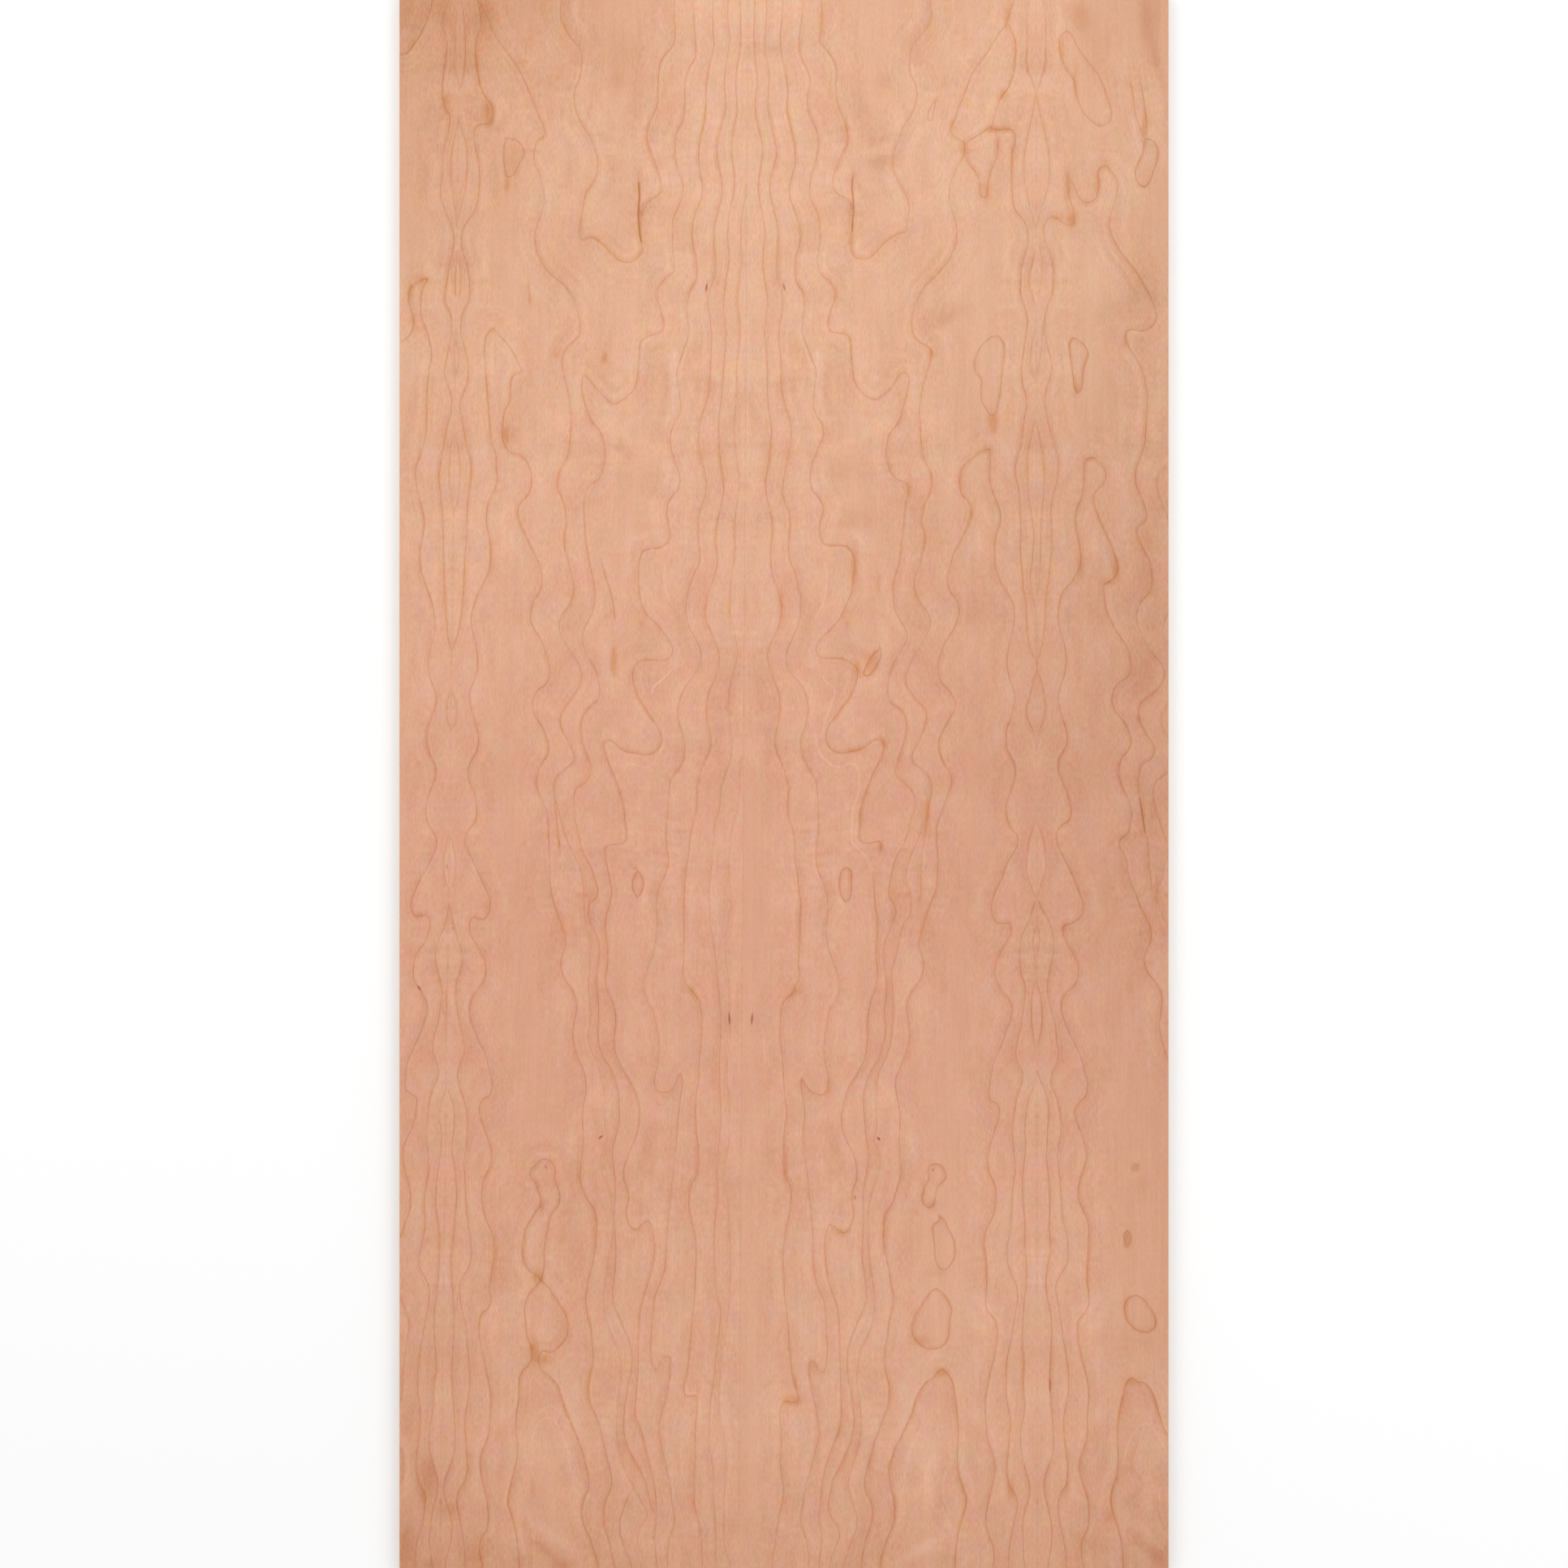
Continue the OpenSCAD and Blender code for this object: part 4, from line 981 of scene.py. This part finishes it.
# %% Values, and a finish that holds them
class Value:
    """A number or colour that varies over a surface."""

    def __init__(self, finish, socket):
        self.finish = finish
        self.socket = socket

    def maths(self, operation, first, second=0.0, third=0.0):
        return self.finish.node("ShaderNodeMath", {"operation": operation}, {0: first, 1: second, 2: third})

    def __add__(self, other):
        return self.maths("ADD", self, other)

    def __radd__(self, other):
        return self.maths("ADD", other, self)

    def __sub__(self, other):
        return self.maths("SUBTRACT", self, other)

    def __rsub__(self, other):
        return self.maths("SUBTRACT", other, self)

    def __mul__(self, other):
        return self.maths("MULTIPLY", self, other)

    def __rmul__(self, other):
        return self.maths("MULTIPLY", other, self)

    def __truediv__(self, other):
        return self.maths("DIVIDE", self, other)

    def __neg__(self):
        return self.maths("MULTIPLY", self, -1.0)

    def __abs__(self):
        return self.maths("ABSOLUTE", self)

    def least(self, other):
        return self.maths("MINIMUM", self, other)

    def most(self, other):
        return self.maths("MAXIMUM", self, other)

    def step(self, low, high):
        """0 below low, 1 above high, and a smooth rise between; falls instead when low is above high."""
        rising = low < high
        sockets = {
            "Value": self,
            "From Min": min(low, high),
            "From Max": max(low, high),
            "To Min": 0.0 if rising else 1.0,
            "To Max": 1.0 if rising else 0.0,
        }
        return self.finish.node("ShaderNodeMapRange", {"interpolation_type": "SMOOTHSTEP"}, sockets)


def linear(red, green, blue):
    """A colour as an eye reads it from a picture, 0 to 255, as the light values that a shader needs."""
    parts = []
    for part in (red, green, blue):
        part /= 255
        parts.append(part / 12.92 if part <= 0.04045 else ((part + 0.055) / 1.055) ** 2.4)
    return (*parts, 1.0)


class Finish:
    """One net of nodes: a material's, or the sky's."""

    def __init__(self, holder):
        holder.use_nodes = True
        self.holder = holder
        self.tree = holder.node_tree
        self.tree.nodes.clear()

    def node(self, kind, settings=None, sockets=None, out=0):
        made = self.tree.nodes.new(kind)
        for name, value in (settings or {}).items():
            setattr(made, name, value)
        for key, value in (sockets or {}).items():
            if isinstance(value, Value):
                self.tree.links.new(value.socket, made.inputs[key])
            else:
                made.inputs[key].default_value = value
        return Value(self, made.outputs[out]) if made.outputs else None

    def kept(self, label):
        """A number that the mesh keeps on its vertices."""
        return self.node("ShaderNodeAttribute", {"attribute_name": label}, out="Fac")

    def place(self):
        """Where the surface is on the sheet, in metres, as three values."""
        spot = self.node("ShaderNodeTexCoord", out="Object")
        return [self.node("ShaderNodeSeparateXYZ", None, {0: spot}, out) for out in "XYZ"]

    def noise(self, x, y, z=0.0, detail=2.0, rough=0.5, warp=0.0):
        """Noise about 0, mostly between -1 and 1, with lumps about one unit of x, y and z in size."""
        spot = self.node("ShaderNodeCombineXYZ", None, {0: x, 1: y, 2: z})
        sockets = {"Vector": spot, "Scale": 1.0, "Detail": detail, "Roughness": rough, "Distortion": warp}
        return (self.node("ShaderNodeTexNoise", None, sockets, "Fac") - 0.5) * 4.0

    def mix(self, share, first, second):
        return self.node("ShaderNodeMix", {"data_type": "RGBA"}, {0: share, 6: first, 7: second}, 2)

    def stain(self, share, colour, stain):
        """A colour seen through a stain, as much as share says. A white stain would change nothing."""
        settings = {"data_type": "RGBA", "blend_type": "MULTIPLY"}
        return self.node("ShaderNodeMix", settings, {0: share, 6: colour, 7: stain}, 2)

    def brighten(self, colour, factor):
        return self.node("ShaderNodeVectorMath", {"operation": "SCALE"}, {0: colour, "Scale": factor})

    def deepen(self, colour, depth):
        """A richer, darker tone of a wood colour, or a paler one for a depth below 0."""
        tone = self.mix(depth / (2 * DEEPEST) + 0.5, PALE_TONE, RICH_TONE)
        return self.stain(1.0, colour, tone)

    def bump(self, height, depth_mm):
        sockets = {"Height": height, "Strength": 1.0, "Distance": depth_mm * MM}
        return self.node("ShaderNodeBump", None, sockets, "Normal")

    def surface(self, **sockets):
        """The visible wood: sockets of the Principled shader by name, with _ for a space."""
        named = {name.replace("_", " "): value for name, value in sockets.items()}
        shader = self.node("ShaderNodeBsdfPrincipled", None, named, "BSDF")
        self.node("ShaderNodeOutputMaterial", None, {"Surface": shader})
        return self.holder


# %% [markdown]
# ## The cherry of the show face
# Cherry is a pinkish tan, yellower where the slice runs flat along a ring. Over that lie, from large to small: a
# slow change of tone over the sheet with painted shade that darkens its right side, corners and foot, soft
# streaks along the log, patches where the grain curls, painted shade and sheen where the grain leans, the rich
# side and the pale side of a growth line, the line itself, flecks of gum, and the fine fibre. Each is one value,
# so each can be turned up or down by itself. Painting the whole from one noise would be shorter, but then nothing
# could be matched to the real face. Where cherry is darker it is also redder, because the wood takes more blue
# than red out of the light. So the tone isn't a plain brightness: one step of depth takes 1 part of red, 2 of
# green and 3 of blue. What stands out from that, such as a line or gum, is a stain of its own colour.

# %% Cherry's colours and sizes
PINK_TAN = linear(220, 161, 131)
HEAD_TAN = linear(226, 173, 140)
DEEPEST = 6.0
RICH_TONE = (0.79, 0.604, 0.424, 1.0)
PALE_TONE = tuple(2.0 - part for part in RICH_TONE[:3]) + (1.0,)
WARM_TONE = (1.066, 0.985, 0.935, 1.0)
COOL_TONE = tuple(2.0 - part for part in WARM_TONE[:3]) + (1.0,)
ROSY_TONE = (1.0, 0.962, 1.046, 1.0)
STRAW_TONE = tuple(2.0 - part for part in ROSY_TONE[:3]) + (1.0,)
GREY_LINE = linear(234, 218, 210)
OCHRE_LINE = linear(239, 215, 186)
OCHRE_STAIN = linear(241, 221, 190)
GUM_STAIN = linear(214, 178, 124)
SPECK_STAIN = linear(190, 130, 104)
SEAM_STAIN = linear(220, 208, 198)
LINE_EDGE_MM = 1.7
RIM_MM = 5.0
BAND_MM = 11.0
TRUSTED_MM = 4.2
DOUBTED_MM = 6.5
GUM_HALF_WIDTH_MM = 2.6
SEAM_HALF_WIDTH_MM = 1.0


# %% The tone: what is deeper and what is paler
def tone_and_painted_shade(x, y):
    """The slow change over the sheet: a depth of wood tone, and a brightness that is painted shade over the right
    side, the foot and the corners.
    """
    right = x.step(0.05, 0.62) * (1.0 - (y - 0.2) * (y - 0.2)).most(0.15)
    middle_right = x.step(0.0, 0.25) * abs(y - 0.2).step(0.6, 0.15)
    corners = abs(x).step(0.42, 0.62) * (y * y + 0.2)
    foot = y.step(-1.0, -1.25)
    head_left = abs(x + 0.47).step(0.38, 0.0) * (y.step(0.3, 1.25) * 1.5 + y.step(1.0, 1.3) * 1.4)
    warm_left = abs(x + 0.36).step(0.24, 0.05) * abs(y + 0.45).step(0.75, 0.3)
    foot_left = x.step(0.0, -0.25) * y.step(-0.3, -0.75)
    depth = right * 0.7 + middle_right * 0.3 + corners * 0.6 + foot * 1.2 + head_left + warm_left * 0.45 + foot_left * 0.45
    # Painted shade: plain brightness, darker on the right side, at the corners, the foot and the head's left, a touch
    # lighter at the foot's left
    light = 1.0 - right * 0.1 - corners * 0.03 - middle_right * 0.01 - foot * 0.02
    return depth, light - head_left * 0.02 + foot_left * 0.006


def follow_lines(wood, along, size, length, seed, detail):
    """Streaks that run along the growth lines, size mm wide and length mm long."""
    first = wood.noise(wood.kept("flow_first") / size, along / length, seed, detail, 0.6)
    second = wood.noise(wood.kept("flow_second") / size, along / length, seed + 3.0, detail, 0.6)
    return first + (second - first) * wood.kept("flow_share")


def fibre_depth(wood, across, along, busy):
    """Streaks and clouds of the wood itself, finest first; busy is 1 near growth lines and less in plain wood."""
    fibre = wood.noise(across / 5.0, along / 110, 1.3, 3.0, 0.65)
    pores = wood.noise(across / 2.4, along / 9, 5.9, 2.0, 0.6)
    fine = follow_lines(wood, along, 4.5, 90, 21.0, 3.0)
    broad = follow_lines(wood, along, 15.0, 150, 31.0, 2.0)
    streak = wood.noise(across / 17, along / 500, 7.7, 3.0, 0.6)
    curly = wood.noise(across / 150, along / 210, 18.3, 1.0).step(-0.6, 0.9)
    curl = wood.noise(across / 70, along / 30, 3.3, 3.0, 0.6, 1.6) * curly
    clouds = wood.noise(across / 50, along / 85, 12.4, 4.0, 0.65, 0.5)
    wander = wood.noise(across / 120, along / 380, 40.4, 1.0)
    straight = (fibre * 0.9 + streak * 0.7) * (1.0 - busy * 0.5)
    bent = (fine * 1.1 + broad * 0.95 - fine.step(0.12, 0.42) * 0.55) * busy
    return straight + bent + pores * (busy * 1.15 + 0.65) + (curl * 1.3 + clouds * 1.8) * busy + wander * 0.2


def line_depth(wood, signed, dark, patchy):
    """The rich side and the pale side of a growth line, and its light echoes."""
    band = signed.step(-1.5, 0.5) * signed.step(BAND_MM, 0.5) * (patchy * 0.3 + 0.7)
    rim = abs(signed + RIM_MM).step(3.2, 0.0) * (0.5 - patchy * 0.5)
    echo = abs(signed - 12.0).step(2.6, 0.2) * patchy.step(0.1, 0.9) + abs(signed + 11.0).step(2.2, 0.2)
    return (band * 0.25 - rim * 0.5 - echo * 0.45) * dark


def specks(wood):
    """1 in the middle of each small dark speck and 0 outside it."""
    place = wood.node("ShaderNodeTexCoord", out="Object")
    found = None
    for x, y, half_width, half_length, strength, turn in read_points(SPECKS):
        middle = on_sheet([(x, y)])[0]
        size = (half_width * METRES_PER_PX, half_length * METRES_PER_PX, 1.0)
        sockets = {"Vector": place, "Location": (middle[0], middle[1], sheet_high.z), "Scale": size}
        sockets["Rotation"] = (0.0, 0.0, math.radians(turn))
        own = wood.node("ShaderNodeMapping", {"vector_type": "TEXTURE"}, sockets)
        out = wood.node("ShaderNodeVectorMath", {"operation": "LENGTH"}, {0: own}, "Value")
        speck = out.step(1.0, 0.25) * strength
        found = speck if found is None else found.most(speck)
    return found


# %% The show face's finish
def cherry_face():
    wood = Finish(bpy.data.materials.new("cherry_face"))
    signed, near = wood.kept("line_signed"), wood.kept("line_near")
    dark, kind = wood.kept("line_dark"), wood.kept("line_kind")
    across, along = wood.kept("log_across"), wood.kept("log_along")
    ochre_spot, shade = wood.kept("ochre"), wood.kept("shade")
    x, y, _ = wood.place()
    busy = wood.kept("flow_near").step(70.0, 15.0) * 0.75 + 0.25
    patchy = wood.noise(across / 20, along / 90, 6.1, 2.0)
    is_line = (1.0 - abs(kind)) * dark
    trusted = near.step(DOUBTED_MM, TRUSTED_MM)

    # Yellower at the head, pinkest just below the middle
    yellow = (y + patchy * 0.05).step(-0.15, 0.85) + y.step(-0.35, -0.9) * 0.35
    # The sheet's slow wood tone as a depth, and painted shade as a brightness
    depth, light = tone_and_painted_shade(x, y)
    depth = depth + fibre_depth(wood, across, along, busy)
    # Painted shade and sheen from the shade spots: browner above nought, paler below it, and towards the head also
    # darker by brightness
    depth = depth + line_depth(wood, signed, is_line, patchy) + shade.most(0.0) * 4.6 + shade.least(0.0) * 2.8
    light = light - shade.most(0.0) * y.step(-0.6, 0.6) * 0.07
    pale = abs(signed).step(2.2, 0.2) * trusted * (-kind).most(0.0)
    depth = depth - pale * dark * 2.8
    colour = wood.deepen(wood.brighten(wood.mix(yellow, PINK_TAN, HEAD_TAN), light), depth)
    warmth = wood.noise(across / 32, along / 50, 15.0, 4.0, 0.7) * busy
    colour = wood.stain(1.0, colour, wood.mix(warmth * 0.45 + 0.5, WARM_TONE, COOL_TONE))
    rosiness = wood.noise(across / 28, along / 45, 25.0, 4.0, 0.7) * busy
    colour = wood.stain(1.0, colour, wood.mix(rosiness * 0.75 + 0.5, STRAW_TONE, ROSY_TONE))

    # Ochre, the line and gum, each as a stain
    ochre_line = patchy.step(0.7, -0.7)
    halo = abs(signed - 1.0).step(7.0, 0.5) * near.step(12.0, 7.0) * ochre_line * is_line
    ragged = wood.noise(across / 5, along / 24, 4.4, 2.0) * 0.35 + 0.9
    colour = wood.stain((ochre_spot * ragged * 1.4 + halo * 0.38).least(1.0), colour, OCHRE_STAIN)
    steady = wood.noise(across / 14, along / 40, 2.2, 2.0).step(-0.8, 0.6) * 0.6 + 0.7
    line = abs(signed).step(LINE_EDGE_MM, 0.0) * trusted * is_line * steady * 0.82
    colour = wood.stain(line, colour, wood.mix(ochre_line, GREY_LINE, OCHRE_LINE))
    half_width = dark * dark * GUM_HALF_WIDTH_MM + 0.7
    fleck = (abs(signed) / half_width).step(1.0, 0.25) * trusted * kind.step(0.4, 0.7) * (dark * 0.9 + 0.1)
    colour = wood.stain(fleck, colour, GUM_STAIN)
    colour = wood.stain(specks(wood), colour, SPECK_STAIN)
    seam = wood.kept("from_joint").step(SEAM_HALF_WIDTH_MM, 0.2)
    colour = wood.stain(seam * 0.3, colour, SEAM_STAIN)

    relief = wood.bump(wood.noise(across / 2.4, along / 9, 5.9, 2.0, 0.6), 0.04)
    return wood.surface(Base_Color=colour, Roughness=0.57, Normal=relief)


face_finish = cherry_face()
for veneer in veneers.values():
    veneer.data.materials.append(face_finish)
print("nodes in the face's finish:", len(face_finish.node_tree.nodes))

# %% [markdown]
# ## The plies below
# Under the face lie five peeled plies, laid with their grain crossed in turn so that the sheet stays flat. Only
# their sawn edges show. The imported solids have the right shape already, so they stay and get a finish. One
# recipe serves all of them: wood is a bundle of long fibres, so noise that is stretched along the grain shows
# streaks on a face cut along it and pores on a face cut across it, just as real wood does.

# %% Core plies, seen at their sawn edges
CORE_PALE = linear(228, 203, 170)
CORE_WARM = linear(210, 172, 132)
END_PALE = linear(202, 166, 128)
END_DARK = linear(160, 119, 84)
GLUE_BROWN = linear(120, 84, 56)
GLUE_HALF_WIDTH_MM = 0.35


def core_ply(name, pale, warm, runs_across, seed):
    """A peeled ply. runs_across says that its grain lies across the sheet, so its long edges are end grain."""
    wood = Finish(bpy.data.materials.new(name))
    low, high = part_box(name)
    x, y, z = (part / MM for part in wood.place())
    along, across = (x, y) if runs_across else (y, x)
    rings = wood.noise(across / 38, z / 3.0 + along / 900, seed, 2.0)
    streak = wood.noise(across / 2.6, z / 0.7, along / 130 + seed, 3.0, 0.6)
    pores = wood.noise(across / 0.55, z / 0.45, along / 12 + seed, 2.0, 0.7)
    saw = wood.noise((x + y) / 1.3, z / 6.0, seed + 4.0, 1.0)
    share = (rings * 0.35 + streak * 0.30 + 0.5).step(0.0, 1.0)
    colour = wood.brighten(wood.mix(share, pale, warm), 1.0 + pores * 0.10 + saw * 0.03)
    from_glue = (z - low[2] / MM).least(high[2] / MM - z)
    glue = from_glue.step(GLUE_HALF_WIDTH_MM, 0.05)
    colour = wood.mix(glue * 0.75, colour, GLUE_BROWN)
    relief = wood.bump(pores * 0.5 + saw * 0.5, 0.12)
    return wood.surface(Base_Color=colour, Roughness=0.72 + pores * 0.04, Normal=relief)


PLIES = {
    "crossband_upper": (END_PALE, END_DARK, True, 1.7),
    "long_core_upper": (CORE_PALE, CORE_WARM, False, 5.3),
    "centre_core": (END_PALE, END_DARK, True, 8.9),
    "long_core_lower": (CORE_PALE, CORE_WARM, False, 13.1),
    "crossband_lower": (END_PALE, END_DARK, True, 17.5),
}
for name, (pale, warm, runs_across, seed) in PLIES.items():
    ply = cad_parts[name]
    ply.data.materials.clear()
    ply.data.materials.append(core_ply(name, pale, warm, runs_across, seed))
print("plies with a finish:", len(PLIES))

# %% [markdown]
# ## The back
# The back of such a sheet is one wide veneer, peeled off the turning log like paper off a roll. The knife follows
# the rings instead of crossing them, so its figure is broad and wild, with no joints. The photograph doesn't
# show it, so it is kept plain: one field of height, slowly rising across the sheet and bent by noise, and a
# brown line wherever the field passes a whole number.

# %% Cherry on the back
BACK_TAN = linear(214, 162, 130)
BACK_DEEP = linear(202, 146, 112)


def cherry_back():
    wood = Finish(bpy.data.materials.new("cherry_back"))
    x, y, z = (part / MM for part in wood.place())
    height = wood.noise(x / 260, y / 1100, 2.2, 1.0) * 3.0 + wood.noise(x / 80, y / 430, 8.1, 1.0) * 0.5 + x / 150
    turn = height.maths("PINGPONG", height, 0.5)
    line = turn.step(0.06, 0.0)
    band = height.maths("FRACT", height).step(1.0, 0.2)
    fibre = wood.noise(x / 3.2, y / 95, z / 3 + 1.3, 3.0, 0.65)
    pores = wood.noise(x / 1.1, y / 14, z / 2 + 5.9, 2.0, 0.7)
    clouds = wood.noise(x / 160, y / 400, 4.0, 2.0)
    colour = wood.mix(band * 0.5, BACK_TAN, BACK_DEEP)
    colour = wood.stain(line, colour, OCHRE_LINE)
    colour = wood.brighten(colour, 1.0 + clouds * 0.03 + fibre * 0.03 + pores * 0.02)
    relief = wood.bump(fibre * 0.4 + pores * 0.6, 0.05)
    return wood.surface(Base_Color=colour, Roughness=0.6 + fibre * 0.02, Normal=relief)


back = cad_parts["back_veneer"]
back.data.materials.clear()
back.data.materials.append(cherry_back())

# %% [markdown]
# ## Floor and light
# The photograph has no floor at all, only white round the sheet. A white floor that takes the sheet's soft shadow
# is the nearest real thing. What the camera sees of it is lifted to pure white with a little light of its own,
# which only camera rays meet, so the sheet isn't lit by it. The light is an even sky with two wide, soft lamps,
# strong enough together that a colour comes out about as it was written.

# %% Floor, sky and lamps
FLOOR_SIDE = 30.0
FLOOR_WHITE = (0.93, 0.93, 0.93, 1.0)
FLOOR_LIFT = 0.12
FLOOR_FADES = (0.5, 2.0)
SKY_WHITE = (1.0, 1.0, 1.0, 1.0)
SKY = 0.72
LAMP_SIDE = 3.0
LAMP_WATTS = 53.0
LAMP_PLACES = {"left": (-3.2, 2.2, 3.6), "right": (3.2, 1.2, 3.6)}


def seen_directly(net):
    """1 for the rays that go straight to the camera, off a glossy surface or through glass, and 0 for others."""
    labels = ("Is Camera Ray", "Is Glossy Ray", "Is Transmission Ray")
    camera_ray, glossy_ray, through_ray = (net.node("ShaderNodeLightPath", out=label) for label in labels)
    return camera_ray.most(glossy_ray).most(through_ray)


half_side = FLOOR_SIDE / 2
corners = [(-half_side, -half_side, 0), (half_side, -half_side, 0), (half_side, half_side, 0)]
corners.append((-half_side, half_side, 0))
floor_mesh = bpy.data.meshes.new("floor")
floor_mesh.from_pydata(corners, [], [(0, 1, 2, 3)])
floor = bpy.data.objects.new("floor", floor_mesh)
floor.location.z = sheet_low.z - 0.0005
bpy.context.scene.collection.objects.link(floor)

paint = Finish(bpy.data.materials.new("floor"))
sockets = {"Base Color": FLOOR_WHITE, "Roughness": 1.0, "Specular IOR Level": 0.0}
plain = paint.node("ShaderNodeBsdfPrincipled", None, sockets, "BSDF")
glow = paint.node("ShaderNodeEmission", None, {"Strength": FLOOR_LIFT})
lifted = paint.node("ShaderNodeAddShader", None, {0: plain, 1: glow})
# Beyond the lamps' reach the floor runs into the white of the sky
x, y, _ = paint.place()
beside = (abs(x) - sheet_high.x).most(abs(y) - sheet_high.y)
white = paint.node("ShaderNodeEmission", None, {"Strength": 1.0})
faded = paint.node("ShaderNodeMixShader", None, {0: beside.step(*FLOOR_FADES), 1: lifted, 2: white})
seen = paint.node("ShaderNodeMixShader", None, {0: seen_directly(paint), 1: plain, 2: faded})
paint.node("ShaderNodeOutputMaterial", None, {"Surface": seen})
floor_mesh.materials.append(paint.holder)

sky = Finish(bpy.data.worlds.new("sky"))
strength = seen_directly(sky) * (1.0 - SKY) + SKY
light = sky.node("ShaderNodeBackground", None, {"Color": SKY_WHITE, "Strength": strength})
sky.node("ShaderNodeOutputWorld", None, {"Surface": light})
bpy.context.scene.world = sky.holder

for side, place in LAMP_PLACES.items():
    lamp = bpy.data.lights.new("lamp_" + side, "AREA")
    lamp.size = LAMP_SIDE
    lamp.energy = LAMP_WATTS
    holder = bpy.data.objects.new("lamp_" + side, lamp)
    holder.location = place
    holder.rotation_euler = (Vector(place) - Vector((0, 0.2, 0))).to_track_quat("Z", "Y").to_euler()
    bpy.context.scene.collection.objects.link(holder)
bpy.context.scene.view_settings.view_transform = "Standard"
print("lamps:", len(LAMP_PLACES), "sky strength:", SKY)
